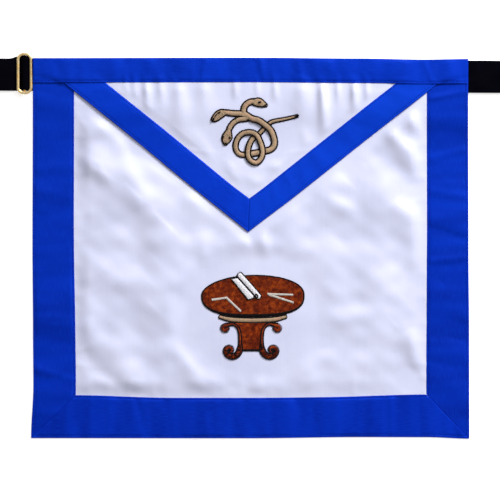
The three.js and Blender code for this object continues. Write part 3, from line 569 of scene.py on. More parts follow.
def side_ribbon(side):
    def plan(share, inward):
        under_hem = lerp(-0.1, MITRE_LAP, smooth(inward, 0.3, 3))
        mitre = inward * HEM_RIBBON / SIDE_RIBBON * hem_share(HALF_WIDTH - inward)
        end = APRON_HEIGHT - mitre + under_hem
        down = lerp(FOLD_INSET, end, share)
        return side * (HALF_WIDTH - inward * side_share(down)), down, down, end - FOLD_INSET

    return folded_ribbon(
        "border_left_ribbon" if side < 0 else "border_right_ribbon", SIDE_RIBBON,
        seam_stations(APRON_HEIGHT, 1.7, side), plan, *seat_and_leaf(panel_under),
        41 if side < 0 else 44, (2.6, SIDE_RIBBON - 1.8), 0.6, (0, 0.5),
        lambda x, y: smooth(-flap_inset(x, y), 0, 8) * smooth(y, BAND_HEIGHT - 1, BAND_HEIGHT + 4),
    )


def hem_ribbon():
    def plan(share, inward):
        half = HALF_WIDTH - inward * SIDE_RIBBON / HEM_RIBBON * SIDE_SPREAD - 0.05
        across = half * (2 * share - 1)
        return across, APRON_HEIGHT - inward * hem_share(across), across + HALF_WIDTH, 2 * half

    return folded_ribbon(
        "border_bottom_ribbon", HEM_RIBBON, seam_stations(APRON_WIDTH, 1.7), plan,
        *seat_and_leaf(lambda down: 0), 47, (2.6, HEM_RIBBON - 1.8), 0.55, (0.08, 0.08),
    )


def band_leaf(across, down):
    """Underside of the waistband's leaf, which settles on the flap, whose edge shows through."""
    inset = flap_inset(across, down)
    reach = lerp(20, 5, smooth(down, 13, 22))
    over = lerp(BAND_ON_FLAP, BAND_ON_BORDER, smooth(-inset, -0.5, reach))
    satin = smooth(inset - FLAP_RIBBON, -3, 6) * smooth(down, 9, 21)
    flap = flap_top(across, down)
    return np.maximum(lerp(over, flap + 0.16, satin), flap + 0.12)


def waistband():
    def plan(share, inward):
        across = -HALF_WIDTH + APRON_WIDTH * (1 - share)
        return across, inward + 0 * share, HALF_WIDTH - across, APRON_WIDTH

    return folded_ribbon(
        "waistband_ribbon", BAND_HEIGHT, seam_stations(APRON_WIDTH, 1.5), plan,
        lambda x, y: WAIST_RISE + 0 * x,
        band_leaf, 53, (BAND_HEIGHT - 1.8,), 0.7,
    )


def flap_ribbon(side):
    def plan(share, inward):
        top_half = HALF_WIDTH * (1 - FOLD_INSET / FLAP_DROP) - inward * FLAP_EDGE / FLAP_DROP
        down = lerp(FOLD_INSET, FLAP_DROP - inward * FLAP_EDGE / HALF_WIDTH, share)
        across = leaning(side * lerp(top_half, -TIP_LAP, share), down)
        return across, down, share * FLAP_EDGE, FLAP_EDGE

    return folded_ribbon(
        "flap_ribbon_left" if side < 0 else "flap_ribbon_right", FLAP_RIBBON,
        seam_stations(FLAP_EDGE, 1.6, side), plan, *seat_and_leaf(flap_under),
        61 if side < 0 else 66, (2.2, FLAP_RIBBON - 1.6), 0.2, (0, 0.5),
        lambda x, y: smooth(y, BAND_HEIGHT - 1, BAND_HEIGHT + 8),
    )


# Stitches: small closed threads, laid by the hundred. An edging stitch is its radius and arch.
STITCH_PITCH = 0.42
EDGE_STITCH = (0.27, 0.28)
TOPSTITCH_PITCH = 3.1
TOPSTITCH_LENGTH = 2.6


def threads(name, starts, ends, radius, arch, tint, middle=True, sides=5):
    """One object of stitches from starts to ends, each arched up in its middle by arch."""
    starts = np.asarray(starts, float)
    run = np.asarray(ends, float) - starts
    count = len(starts)
    share = np.array([0, 0.15, 0.5, 0.85, 1] if middle else [0, 0.12, 0.88, 1])
    girth = np.array([0.4, 0.95, 1, 0.95, 0.4] if middle else [0.4, 1, 1, 0.4])
    flat = run[:, :2] / np.maximum(np.hypot(run[:, 0], run[:, 1]), 1e-6)[:, None]
    side = np.stack([-flat[:, 1], flat[:, 0], np.zeros(count)], axis=-1)
    up = np.array([0, 0, 0.85])
    centre = starts[:, None, :] + run[:, None, :] * share[None, :, None]
    bow = 1 - (2 * share - 1) ** 2
    centre[..., 2] += np.broadcast_to(arch, count)[:, None] * bow[None, :]
    angle = 2 * math.pi * np.arange(sides) / sides
    ring = np.cos(angle)[None, :, None] * side[:, None, :] + np.sin(angle)[None, :, None] * up
    thick = np.broadcast_to(radius, count)[:, None] * girth[None, :]
    points = centre[:, :, None, :] + thick[:, :, None, None] * ring[:, None, :, :]
    rings = len(share)
    index = np.arange(count * rings * sides).reshape(count, rings, sides)
    after = np.roll(index, -1, axis=2)
    walls = np.stack([index[:, :-1], after[:, :-1], after[:, 1:], index[:, 1:]], axis=-1).reshape(-1, 4)
    caps = np.concatenate([index[:, 0, ::-1], index[:, -1]])
    spread = np.repeat(np.broadcast_to(tint, count), rings * sides)
    return mesh_object(name, points, [walls, caps], spread)


def spline(points, spacing):
    """A Catmull-Rom curve through rows of numbers, resampled evenly along its first two."""
    points = np.asarray(points, float)
    ends = np.concatenate([[2 * points[0] - points[1]], points, [2 * points[-1] - points[-2]]])
    share = np.linspace(0, 1, 24, endpoint=False)[:, None]
    parts = []
    for a, b, c, d in zip(ends[:-3], ends[1:-2], ends[2:-1], ends[3:]):
        parts.append(0.5 * (2 * b + (c - a) * share + (2 * a - 5 * b + 4 * c - d) * share**2
                            + (3 * b - a - 3 * c + d) * share**3))
    line = np.concatenate([*parts, points[-1:]])
    step = np.hypot(*np.diff(line[:, :2], axis=0).T)
    place = np.concatenate([[0], np.cumsum(step)])
    wanted = np.linspace(0, place[-1], max(2, int(round(place[-1] / spacing))))
    return np.stack([np.interp(wanted, place, column) for column in line.T], axis=-1)


def normals(line):
    tangent = np.gradient(line[:, :2], axis=0)
    tangent = tangent / np.hypot(*tangent.T)[:, None]
    return np.stack([-tangent[:, 1], tangent[:, 0]], axis=-1)


class Stitching:
    """Stitches gathered for one piece, on an emblem's own plan about its centre."""

    def __init__(self, size, centre, surface):
        self.size, self.centre, self.surface = size, centre, surface
        self.starts, self.ends, self.radii, self.arches = [], [], [], []

    def local(self, rows):
        """Plan points in millimetres from shares of the emblem's width and height."""
        rows = np.array(rows, float)
        rows[:, 0] = (rows[:, 0] - 0.5) * self.size[0]
        rows[:, 1] = (0.5 - rows[:, 1]) * self.size[1]
        return rows

    def put(self, starts, ends, height, radius, arch):
        placed = []
        for points in (starts, ends):
            across = self.centre[0] + points[:, 0]
            down = self.centre[1] - points[:, 1]
            placed.append(settle(across, down, self.surface(across, down) + height))
        self.starts.append(placed[0])
        self.ends.append(placed[1])
        self.radii.append(np.broadcast_to(radius, len(starts)))
        self.arches.append(np.broadcast_to(arch, len(starts)))

    def rise(self, line, height, lift):
        """Heights along a line, lifted where its third column says that it crosses over."""
        return height + lift * (line[:, 2] if line.shape[1] > 2 else 0)

    def strand(self, line, half, radius, arch, height, lift=0):
        """Satin stitch from side to side of a line whose third column says where it crosses over."""
        side = normals(line)
        wide = half + random.uniform(-0.1, 0.1, len(line))
        slant = np.gradient(line[:, :2], axis=0) * 0.5
        left = line[:, :2] + side * wide[:, None] - slant
        right = line[:, :2] - side * wide[:, None] + slant
        self.put(left, right, self.rise(line, height, lift), radius, arch * half / np.max(half))

    def border(self, line, offset, width, height, lift=0):
        """A narrow row of satin stitch beside a line, offset to its left by the given distances."""
        side = normals(line)
        near = offset - 0.15 + random.uniform(-0.12, 0.12, len(line))
        far = offset + width + random.uniform(-0.14, 0.14, len(line))
        inner = line[:, :2] + side * near[:, None]
        outer = line[:, :2] + side * far[:, None]
        self.put(inner, outer, self.rise(line, height, lift), *EDGE_STITCH)

    def fill(self, outlines, angle, pitch, length, radius, arch, height):
        """Rows of stitches inside closed outlines, an inner outline leaving a hole."""
        turn = np.array([[math.cos(angle), math.sin(angle)], [-math.sin(angle), math.cos(angle)]])
        rings = [np.asarray(o)[:, :2] @ turn.T for o in outlines]
        low = min(r[:, 1].min() for r in rings) + pitch / 2
        high = max(r[:, 1].max() for r in rings)
        starts, ends = [], []
        for row, y in enumerate(np.arange(low, high, pitch)):
            crossings = []
            for ring in rings:
                after = np.roll(ring, -1, axis=0)
                hit = (ring[:, 1] > y) != (after[:, 1] > y)
                a, b = ring[hit], after[hit]
                crossings.extend(a[:, 0] + (y - a[:, 1]) * (b[:, 0] - a[:, 0]) / (b[:, 1] - a[:, 1]))
            crossings = sorted(crossings)
            for left, right in zip(crossings[::2], crossings[1::2]):
                if right - left < 0.35:
                    continue
                shift = (row * 0.37 % 1) * length
                cuts = np.arange(math.ceil((left - shift) / length) * length + shift, right, length)
                cuts = cuts + random.uniform(-0.3, 0.3, len(cuts))
                cuts = cuts[(cuts > left + 0.7) & (cuts < right - 0.7)]
                places = np.concatenate([[left], cuts, [right]])
                starts.extend((p, y) for p in places[:-1])
                ends.extend((p, y + random.uniform(-0.05, 0.05)) for p in places[1:])
        starts, ends = np.array(starts) @ turn, np.array(ends) @ turn
        self.put(starts, ends, height + random.uniform(-0.04, 0.04, len(starts)), radius, arch)

    def build(self, name, material, slot, *nodes, middle=True):
        starts = np.concatenate(self.starts)
        tint = random.uniform(0, 1, len(starts))
        obj = threads(name, starts, np.concatenate(self.ends), np.concatenate(self.radii),
                      np.concatenate(self.arches), tint, middle)
        return dress(obj, material, slot, *nodes)


# The serpent's strands: half the width at the start and at the end in millimetres, and the line
# as (across, down, over) in shares of its width and height
SERPENT_STRANDS = [
    (2.35, 2.35, [(0.36, 0.235, 0), (0.40, 0.262, 0.2), (0.463, 0.315, 0.6), (0.54, 0.343, 1),
                  (0.61, 0.405, 1), (0.668, 0.472, 1), (0.703, 0.556, 0.6), (0.721, 0.657, 0.2),
                  (0.710, 0.731, 0), (0.668, 0.778, 0), (0.611, 0.798, 0), (0.50, 0.83, 0),
                  (0.40, 0.85, 0)]),
    (2.0, 2.0, [(0.44, 0.852, 0), (0.392, 0.852, 0), (0.343, 0.852, 0), (0.300, 0.815, 0),
                (0.279, 0.741, 0), (0.286, 0.667, 0), (0.314, 0.593, 0.2), (0.364, 0.537, 0.6),
                (0.428, 0.519, 1), (0.484, 0.532, 1), (0.527, 0.574, 1), (0.558, 0.657, 1),
                (0.579, 0.741, 1), (0.587, 0.824, 1), (0.569, 0.907, 1), (0.527, 0.963, 1),
                (0.491, 0.968, 1), (0.442, 0.926, 1), (0.420, 0.852, 1), (0.424, 0.759, 1),
                (0.442, 0.685, 0.6), (0.470, 0.620, 0), (0.53, 0.555, 0)]),
    (1.75, 0.75, [(0.50, 0.59, 0), (0.548, 0.537, 0), (0.590, 0.481, 0), (0.63, 0.42, 0),
                  (0.668, 0.380, 0), (0.717, 0.352, 0), (0.823, 0.324, 0), (0.929, 0.292, 0),
                  (0.985, 0.269, 0)]),
    (2.3, 2.2, [(0.385, 0.27, 0.1), (0.374, 0.222, 0), (0.374, 0.165, 0), (0.395, 0.113, 0),
                (0.430, 0.079, 0), (0.470, 0.064, 0), (0.515, 0.060, 0)]),
    (2.3, 2.1, [(0.42, 0.285, 0.1), (0.336, 0.245, 0), (0.258, 0.241, 0), (0.180, 0.227, 0),
                (0.124, 0.222, 0)]),
    (2.2, 1.9, [(0.42, 0.31, 0.1), (0.376, 0.320, 0), (0.324, 0.328, 0), (0.276, 0.355, 0),
                (0.234, 0.410, 0), (0.207, 0.475, 0), (0.197, 0.535, 0)]),
]

# The heads' outlines, with the direction of their stitches in degrees, and their eyes and mouths
SERPENT_HEADS = [
    (60, [(0.488, 0.036), (0.531, 0.018), (0.575, 0.035), (0.614, 0.082), (0.635, 0.114),
          (0.622, 0.133), (0.579, 0.137), (0.531, 0.130), (0.480, 0.108), (0.468, 0.072)]),
    (-50, [(0.17, 0.20), (0.110, 0.19), (0.053, 0.232), (0.010, 0.32), (0.02, 0.352),
           (0.064, 0.347), (0.12, 0.302), (0.16, 0.262), (0.185, 0.235)]),
    (-8, [(0.178, 0.49), (0.146, 0.546), (0.130, 0.606), (0.142, 0.672), (0.165, 0.704),
          (0.196, 0.674), (0.230, 0.618), (0.232, 0.570), (0.218, 0.49)]),
]
# Eyes, mouths and noses, as place in shares, length and width in millimetres, and direction
SERPENT_MARKS = [
    (0.553, 0.074, 2.5, 1.9, 10), (0.606, 0.122, 3.2, 0.8, 25), (0.624, 0.112, 2.0, 1.5, 60),
    (0.095, 0.226, 2.6, 1.7, 30), (0.058, 0.266, 3.6, 1.2, 55), (0.026, 0.330, 3.2, 2.2, 60),
    (0.138, 0.590, 2.4, 2.0, 80), (0.214, 0.600, 2.4, 2.0, 100), (0.166, 0.686, 2.6, 1.8, 0),
    (0.290, 0.302, 2.8, 1.4, 30), (0.972, 0.272, 3.4, 2.2, 12),
]


def serpent_pieces(tan, dark):
    fill = Stitching(SERPENT_SIZE, SERPENT_CENTRE, flap_top)
    edge = Stitching(SERPENT_SIZE, SERPENT_CENTRE, flap_top)
    for start, end, rows in SERPENT_STRANDS:
        line = spline(fill.local(rows), STITCH_PITCH)
        half = np.linspace(start, end, len(line))
        fill.strand(line, half, 0.30, 0.55, 0.25, lift=1.0)
        for side in (1, -1):
            beside = line[::side]
            edge.border(beside, half[::side] - 0.3, 1.5, 0.24, lift=1.0)
        tip = line[-1, :2]
        if end < 1:
            away = np.linspace(-0.8, 0.8, 7)
            starts = tip + np.stack([0 * away - 0.6, away], -1)
            ends = tip + np.stack([0 * away + 1.1, away * 0.5], -1)
            edge.put(starts, ends, 0.3, 0.3, 0.25)
    for angle, rows in SERPENT_HEADS:
        outline = spline(fill.local([*rows, rows[0]]), STITCH_PITCH)
        fill.fill([outline], math.radians(angle), STITCH_PITCH, 9, 0.30, 0.5, 0.45)
        turn = 1 if clockwise(outline) else -1
        edge.border(outline[::turn], np.full(len(outline), -0.3), 1.5, 0.4)
    for across, down, length, wide, angle in SERPENT_MARKS:
        place = edge.local([(across, down)])[0]
        along = np.array([math.cos(math.radians(angle)), math.sin(math.radians(angle))])
        places = np.linspace(-length / 2, length / 2, max(3, int(length / 0.4)))[:, None]
        rows = place + places * along
        reach = np.array([-along[1], along[0]]) * wide / 2 * np.sqrt(1.15 - (2 * places / length) ** 2)
        edge.put(rows - reach, rows + reach, 1.6, 0.27, 0.22)
    fill.build("serpent_stitching", tan, "tan_thread", "serpent")
    edge.build("serpent_edging", dark, "dark_thread", "serpent_outline", middle=False)


def clockwise(outline):
    after = np.roll(outline, -1, axis=0)
    return np.sum(outline[:, 0] * after[:, 1] - after[:, 0] * outline[:, 1]) < 0


# The table's lines and outlines, in shares of its width and height. A bracket's third column says
# where it lies over the column behind it.
TABLE_OVAL = (0.503, 0.259, 0.978, 0.434, 0.5)
TABLE_RIM = [
    (0.181, 0.508), (0.256, 0.532), (0.336, 0.545), (0.50, 0.550), (0.656, 0.545), (0.742, 0.533),
    (0.825, 0.508),
]
TABLE_MIDDLE = 0.4856
TABLE_BRACKET = [
    (0.2528, 0.634), (0.2512, 0.653), (0.240, 0.663), (0.2248, 0.663), (0.2128, 0.652), (0.2104, 0.634),
    (0.2192, 0.619), (0.2376, 0.610), (0.266, 0.600), (0.300, 0.592), (0.332, 0.603), (0.360, 0.638),
    (0.374, 0.685), (0.380, 0.747), (0.380, 0.803), (0.380, 0.850), (0.373, 0.900), (0.352, 0.941),
    (0.316, 0.963), (0.276, 0.958), (0.246, 0.930), (0.237, 0.893), (0.252, 0.864), (0.280, 0.857),
    (0.301, 0.874), (0.300, 0.900), (0.289, 0.914),
]
TABLE_BASE = [(0.398, 0.900), (0.43, 0.894), (0.54, 0.894), (0.573, 0.900)]
# Half a bracket's width in millimetres, along it
BRACKET_HALF = {
    "at": [0, 0.14, 0.2, 0.26, 0.50, 0.60, 0.72, 0.88, 1],
    "half": [1.4, 1.45, 0.75, 0.55, 0.8, 2.1, 2.1, 1.4, 0.8],
}
TABLE_COLUMN = [
    (0.325, 0.578), (0.360, 0.636), (0.374, 0.685), (0.380, 0.747), (0.378, 0.803), (0.368, 0.858),
    (0.40, 0.884), (0.4856, 0.882),
]
SCROLL_PAGE = [(0.296, 0.080), (0.352, 0.064), (0.522, 0.284), (0.458, 0.312)]
PAGE_EDGE = [(0.356, 0.060), (0.294, 0.076), (0.456, 0.317), (0.51, 0.297)]
SCROLL_ROLL = [
    (0.355, 0.046), (0.358, 0.022), (0.376, 0.0094), (0.400, 0.019), (0.570, 0.246), (0.577, 0.272),
    (0.567, 0.297), (0.548, 0.301), (0.533, 0.280), (0.514, 0.254),
]
SCROLL_CURL = [
    (0.512, 0.272), (0.530, 0.296), (0.546, 0.290), (0.550, 0.264), (0.534, 0.250), (0.524, 0.262),
    (0.532, 0.272),
]
SQUARE = [[(0.106, 0.315), (0.252, 0.290)], [(0.244, 0.288), (0.386, 0.446)]]
COMPASSES = [[(0.648, 0.249), (0.892, 0.258)], [(0.66, 0.256), (0.896, 0.347)]]


def oval():
    """The table top, a little fuller at its lower corners than an ellipse."""
    across, down, width, height, tilt = TABLE_OVAL
    angle = np.linspace(0, 2 * math.pi, 260, endpoint=False)
    x, y = np.cos(angle), np.sin(angle)
    power = 2 / np.where(y < 0, np.where(x < 0, 2.7, 2.95), np.where(x < 0, 1.9, 2.1))
    x = np.sign(x) * np.abs(x) ** power * width * TABLE_SIZE[0] / 2
    y = np.sign(y) * np.abs(y) ** power * height * TABLE_SIZE[1] / 2
    turn = math.radians(tilt)
    x, y = x * math.cos(turn) - y * math.sin(turn), x * math.sin(turn) + y * math.cos(turn)
    return np.stack([x + (across - 0.5) * TABLE_SIZE[0], y + (0.5 - down) * TABLE_SIZE[1]], -1)


def even(outline, spacing):
    """A closed outline resampled evenly."""
    closed = np.concatenate([outline, outline[:1]])
    place = np.concatenate([[0], np.cumsum(np.hypot(*np.diff(closed, axis=0).T))])
    wanted = np.linspace(0, place[-1], max(4, int(place[-1] / spacing)), endpoint=False)
    return np.stack([np.interp(wanted, place, column) for column in closed.T], axis=-1)


def even_line(rows):
    """An open line with its straight stretches divided, so that a curve keeps its corners."""
    parts = [lerp(a, b, np.array([[0], [0.06], [0.5], [0.94]])) for a, b in zip(rows[:-1], rows[1:])]
    return np.concatenate([*parts, rows[-1:]])


def outline_stitches(piece, outline, inner, outer, height, pitch=STITCH_PITCH):
    """Short stitches across a closed outline, from inner to outer millimetres beside it."""
    path = even(outline, pitch)[:: 1 if clockwise(outline) else -1]
    side = normals(np.concatenate([path[-1:], path, path[:1]]))[1:-1]
    wide = outer(path) if callable(outer) else np.full(len(path), outer)
    wide = wide + random.uniform(-0.12, 0.12, len(path))
    piece.put(path - side * inner, path + side * wide[:, None], height, *EDGE_STITCH)


def round_end(piece, line, half, height):
    """Stitches that close the end of an edged strand."""
    tip = line[-1]
    ahead = (line[-1] - line[-3]) / np.hypot(*(line[-1] - line[-3]))
    across = np.array([-ahead[1], ahead[0]])
    spots = np.linspace(-1, 1, 9)[:, None] * (half + 0.5)
    reach = 0.6 + 0.7 * np.sqrt(1 - np.linspace(-0.95, 0.95, 9)[:, None] ** 2)
    starts = tip + spots * across - 0.2 * ahead
    ends = tip + 0.85 * spots * across + reach * ahead
    piece.put(starts, ends, height, 0.27, 0.25)


def table_pieces(rust, tan, white, grey, dark):
    def stitching():
        return Stitching(TABLE_SIZE, TABLE_CENTRE, panel_top)

    frame = stitching()
    middle = (TABLE_MIDDLE - 0.5) * TABLE_SIZE[0]

    def mirror(line):
        return line * [-1, 1] + [2 * middle, 0]

    page = frame.local(SCROLL_PAGE)
    roll = spline(frame.local([*SCROLL_ROLL, SCROLL_ROLL[0]]), 0.3)
    bracket = spline(frame.local(TABLE_BRACKET), STITCH_PITCH)[:, :2]
    half_column = spline(frame.local(TABLE_COLUMN), 0.5)[:, :2]
    column = np.concatenate([half_column, mirror(half_column)[::-1]])
    rim = spline(frame.local(TABLE_RIM), STITCH_PITCH)[:, :2]
    tools = [spline(frame.local(rows), STITCH_PITCH)[:, :2] for rows in (*SQUARE, *COMPASSES)]
    top = even(oval(), 0.8)

    rust_top = stitching()
    rust_top.fill([top, even(page, 0.6), even(roll, 0.6)], math.radians(3), 0.46, 3.4, 0.29, 0.1, 0.5)
    rust_top.build("table_top_stitching", rust, "rust_thread", "table_top", middle=False)

    half_bracket = follow(BRACKET_HALF, "half", np.linspace(0, 1, len(bracket)))
    rust_leg = stitching()
    rust_leg.fill([column], math.radians(90), 0.46, 3.2, 0.29, 0.12, 0.4)
    for line in (bracket, mirror(bracket)):
        rust_leg.strand(line, half_bracket, 0.3, 0.3, 0.6)
    rust_leg.build("table_pedestal_stitching", rust, "rust_thread", "table_pedestal", middle=False)

    band = stitching()
    half_rim = 1.15 + 0.6 * smooth(1 - np.abs(np.linspace(-1, 1, len(rim))), 0, 0.4)
    band.strand(rim, half_rim, 0.29, 0.4, 0.45)
    band.build("table_rim_stitching", tan, "tan_thread", "table_rim")

    for outline, name, node in ((page, "scroll_page_stitching", "scroll_page"),
                                (roll, "scroll_roll_stitching", "scroll_roll")):
        piece = stitching()
        piece.fill([even(outline, 0.4)], math.radians(38), 0.4, 12, 0.3, 0.5, 0.75)
        piece.build(name, white, "white_thread", node)
    for lines, name, node in ((tools[:2], "set_square_stitching", "set_square"),
                              (tools[2:], "compasses_stitching", "compasses")):
        piece = stitching()
        for line in lines:
            piece.strand(line, np.linspace(1.15, 0.95, len(line)), 0.27, 0.25, 0.85)
        piece.build(name, grey, "white_thread", node)

    low = top[:, 1].min()

    def oval_edge(path):
        return 1.3 + 1.9 * np.exp(-(path[:, 1] - low) / 5)

    edge = stitching()
    outline_stitches(edge, top, 0.25, oval_edge, 0.4)
    for line in (bracket, mirror(bracket)):
        for side in (1, -1):
            edge.border(line[::side], half_bracket[::side] - 0.15, 1.4, 0.55)
    for side in (1, -1):
        edge.border(rim[::side], half_rim, 1.1, 0.35)
    for line in (rim, rim[::-1]):
        round_end(edge, line, 1.2, 0.4)
    for line in (bracket, mirror(bracket)):
        round_end(edge, line[::-1], 1.2, 0.6)
        eye = line[-1] + (line[-12] - line[-1]) * 0.1
        for radius in (0.5, 1.2, 1.9):
            ring = np.linspace(0, 2 * math.pi, 24, endpoint=False)[:, None]
            spots = eye + [0, 1.0] + radius * np.concatenate([np.cos(ring), np.sin(ring)], axis=1)
            edge.put(spots - [0.5, 0], spots + [0.5, 0], 0.3, 0.3, 0.1)
    for line in (bracket, mirror(bracket)):
        picked = random.integers(int(0.52 * len(line)), int(0.86 * len(line)), 190)
        beside = normals(line)[picked]
        off = random.uniform(-0.85, 0.85, len(picked)) * half_bracket[picked]
        spots = line[picked] + beside * off[:, None]
        edge.put(spots - beside * 0.4, spots + beside * 0.4, 0.95, 0.24, 0.12)
    base = spline(frame.local(TABLE_BASE), STITCH_PITCH)[:, :2]
    edge.border(base, np.full(len(base), -0.8), 2.1, 0.5)
    beside = spline(even_line(frame.local(PAGE_EDGE)), 0.4)[:, :2]
    edge.border(beside, np.full(len(beside), -0.4), 1.0, 0.95)
    outline_stitches(edge, roll, 0.15, 0.9, 0.85)
    curl = spline(frame.local(SCROLL_CURL), 0.35)[:, :2]
    edge.border(curl, np.full(len(curl), -0.4), 0.85, 1.75)
    edge.build("table_edging", dark, "dark_thread", "table_outline", middle=False)


# Belt, adjuster slide and the rows of topstitching
CLASP_RUN = 1.4
CLASP_RAMP = (24.3, 10.3)
SLIDE_EDGE = -float(settle(-HALF_WIDTH, SLIDE_DOWN, 0)[0])


def ease_between(x0, z0, x1, z1, count):
    """Points that rise or fall gently from one place of the belt's path to another."""
    x = np.linspace(x0, x1, count)
    share = smooth(x, x0, x1) if x1 > x0 else 1 - smooth(x, x1, x0)
    return np.stack([x, lerp(z0, z1, share)], -1)


def belt_path(threaded):
    """One half of the loop as (distance outward, centre height), from its tab to the clasp."""
    front, back = 1.5 * STRAP + CLEARANCE, STRAP / 2
    turn = HALF_WIDTH + BELT_REACH - TURN_RADIUS - STRAP / 2
    ramp = HALF_WIDTH + BELT_REACH * BELT_FLAT_SHARE
    parts = [np.array([[HALF_WIDTH - BELT_TAB, front]])]
    if threaded:
        near = SLIDE_EDGE + CLEARANCE + SLIDE_WIRE
        far = SLIDE_EDGE + CLEARANCE + SLIDE_WIDTH - SLIDE_WIRE
        middle = (near + far) / 2
        over = SLIDE_SEAT + BAR_THICKNESS + CLEARANCE + STRAP / 2
        parts.append(steps([HALF_WIDTH - BELT_TAB, near + 0.2], [12])[1:, None] * [1, 0] + [0, front])
        parts.append(ease_between(near + 0.2, front, middle - 1.3, over, 9)[1:])
        parts.append(ease_between(middle - 1.3, over, middle + 1.3, over, 4)[1:])
        parts.append(ease_between(middle + 1.3, over, far - 0.2, front, 9)[1:])
    last = parts[-1][-1, 0]
    parts.append(steps([last, ramp], [16])[1:, None] * [1, 0] + [0, front])
    parts.append(ease_between(ramp, front, turn, back + 2 * TURN_RADIUS, 22)[1:])
    angle = np.linspace(math.pi / 2, -math.pi / 2, 15)[1:]
    arc = np.stack([turn + TURN_RADIUS * np.cos(angle), back + TURN_RADIUS * (1 + np.sin(angle))], -1)
    parts.append(arc)
    parts.append(steps([turn, CLASP_RAMP[0]], [60])[1:, None] * [1, 0] + [0, back])
    parts.append(ease_between(CLASP_RAMP[0], back, CLASP_RAMP[1], CLASP_RUN, 8)[1:])
    parts.append(np.array([[5, CLASP_RUN], [1, CLASP_RUN]]))
    return np.concatenate(parts)


def belt(side):
    """Flat ribbed elastic along its path, drawn together a little where it passes the slide."""
    threaded = side < 0
    path = belt_path(threaded)
    tangent = np.gradient(path, axis=0)
    tangent = tangent / np.hypot(*tangent.T)[:, None]
    lift = np.stack([-tangent[:, 1], tangent[:, 0]], -1)
    ribs = 26
    across = steps([-0.5, 0.5], [2 * ribs])
    rib = np.where(np.arange(len(across)) % 2 == 0, -0.07, 0.07)
    rib[[0, -1]] = -0.42
    upper = STRAP / 2 + rib
    section = np.concatenate([across, across[::-1]])
    height = np.concatenate([upper, -upper[::-1]])
    front = path[:, 1] > STRAP
    from_slide = np.abs(path[:, 0] - SLIDE_EDGE - CLEARANCE - SLIDE_WIDTH / 2) - SLIDE_WIDTH / 2
    outer = path[:, 0] > SLIDE_EDGE + CLEARANCE + SLIDE_WIDTH / 2
    near = (1 - smooth(from_slide, np.where(outer, -3, -5), np.where(outer, 7, -0.5))) * threaded
    width = BELT_WIDTH + near * np.where(front, 1.8, 2.8)
    shift = near * np.where(front, 1.6, 1.4)
    x = side * (path[:, :1] + lift[:, :1] * height[None, :])
    z = path[:, 1:] + lift[:, 1:] * height[None, :]
    centre = TOP_EDGE_Y - lerp(BELT_DOWN[0], BELT_DOWN[1], (x + HALF_WIDTH) / APRON_WIDTH)
    wave = 0.25 * waves(path[:, 0], 0 * path[:, 0], 71 + side, 38, 4) * front
    y = centre + shift[:, None] + side * section[None, :] * (width + wave)[:, None]
    rings = np.stack([x, y, z], -1)
    if side > 0:
        rings = rings[::-1]
    length = float(np.hypot(*np.diff(path, axis=0).T).sum())
    return swept("belt_left_strap" if side < 0 else "belt_right_strap", rings), length


def slide():
    """Adjuster slide of rounded wire, with a flat bar across its middle."""
    half_x, half_y = SLIDE_WIDTH / 2 - SLIDE_WIRE / 2, SLIDE_HEIGHT / 2 - SLIDE_WIRE / 2
    radius = SLIDE_CORNER - SLIDE_WIRE / 2
    corners = [(1, 1, 0), (-1, 1, 90), (-1, -1, 180), (1, -1, 270)]
    line = []
    for sx, sy, start in corners:
        for angle in np.radians(np.linspace(start, start + 90, 12)):
            line.append((sx * (half_x - radius) + radius * math.cos(angle),
                         sy * (half_y - radius) + radius * math.sin(angle)))
    line = even(np.array(line), 1.1)
    around = np.linspace(0, 2 * math.pi, 16, endpoint=False)
    power = 0.72
    out = np.sign(np.cos(around)) * np.abs(np.cos(around)) ** power * SLIDE_WIRE / 2
    up = np.sign(np.sin(around)) * np.abs(np.sin(around)) ** power * SLIDE_THICKNESS / 2
    side = -normals(np.concatenate([line[-1:], line, line[:1]]))[1:-1]
    ring = line[:, None, :] + side[:, None, :] * out[None, :, None]
    height = np.broadcast_to(SLIDE_SEAT + SLIDE_THICKNESS / 2 + up, ring.shape[:2])
    points = np.concatenate([ring, height[..., None]], -1)
    centre = np.array([-SLIDE_EDGE - CLEARANCE - SLIDE_WIDTH / 2, TOP_EDGE_Y - SLIDE_DOWN, 0])
    count, sides = points.shape[:2]
    index = np.arange(count * sides).reshape(count, sides)
    after, beyond = np.roll(index, -1, axis=1), np.roll(index, -1, axis=0)
    walls = np.stack([index, after, np.roll(after, -1, axis=0), beyond], -1).reshape(-1, 4)
    wire = mesh_object("slide_wire", (points + centre).reshape(-1, 3), [walls])
    lower = [(-0.5, 0.15), (-0.35, 0), (0.35, 0), (0.5, 0.15)]
    section = np.array([*lower, *[(-x, 1 - z) for x, z in lower]]) * [BAR_WIDTH, BAR_THICKNESS]
    ends = np.array([-1, 1]) * (SLIDE_HEIGHT / 2 - SLIDE_WIRE * 0.6)
    bar = np.array([[(x, y, SLIDE_SEAT + z) for x, z in section] for y in ends]) + centre
    return [wire, swept("slide_bar", bar)]


def topstitch(lines):
    """A row of small stitches along each line of points."""
    starts, ends = [], []
    for line in lines:
        place = np.concatenate([[0], np.cumsum(np.linalg.norm(np.diff(line, axis=0), axis=1))])
        begin = np.arange(2.5, place[-1] - 4, TOPSTITCH_PITCH)
        for wanted, store in ((begin, starts), (begin + TOPSTITCH_LENGTH, ends)):
            store.append(np.stack([np.interp(wanted, place, column) for column in line.T], -1))
    return np.concatenate(starts), np.concatenate(ends)


# Materials. Each is a small node tree over object coordinates, which are in metres.


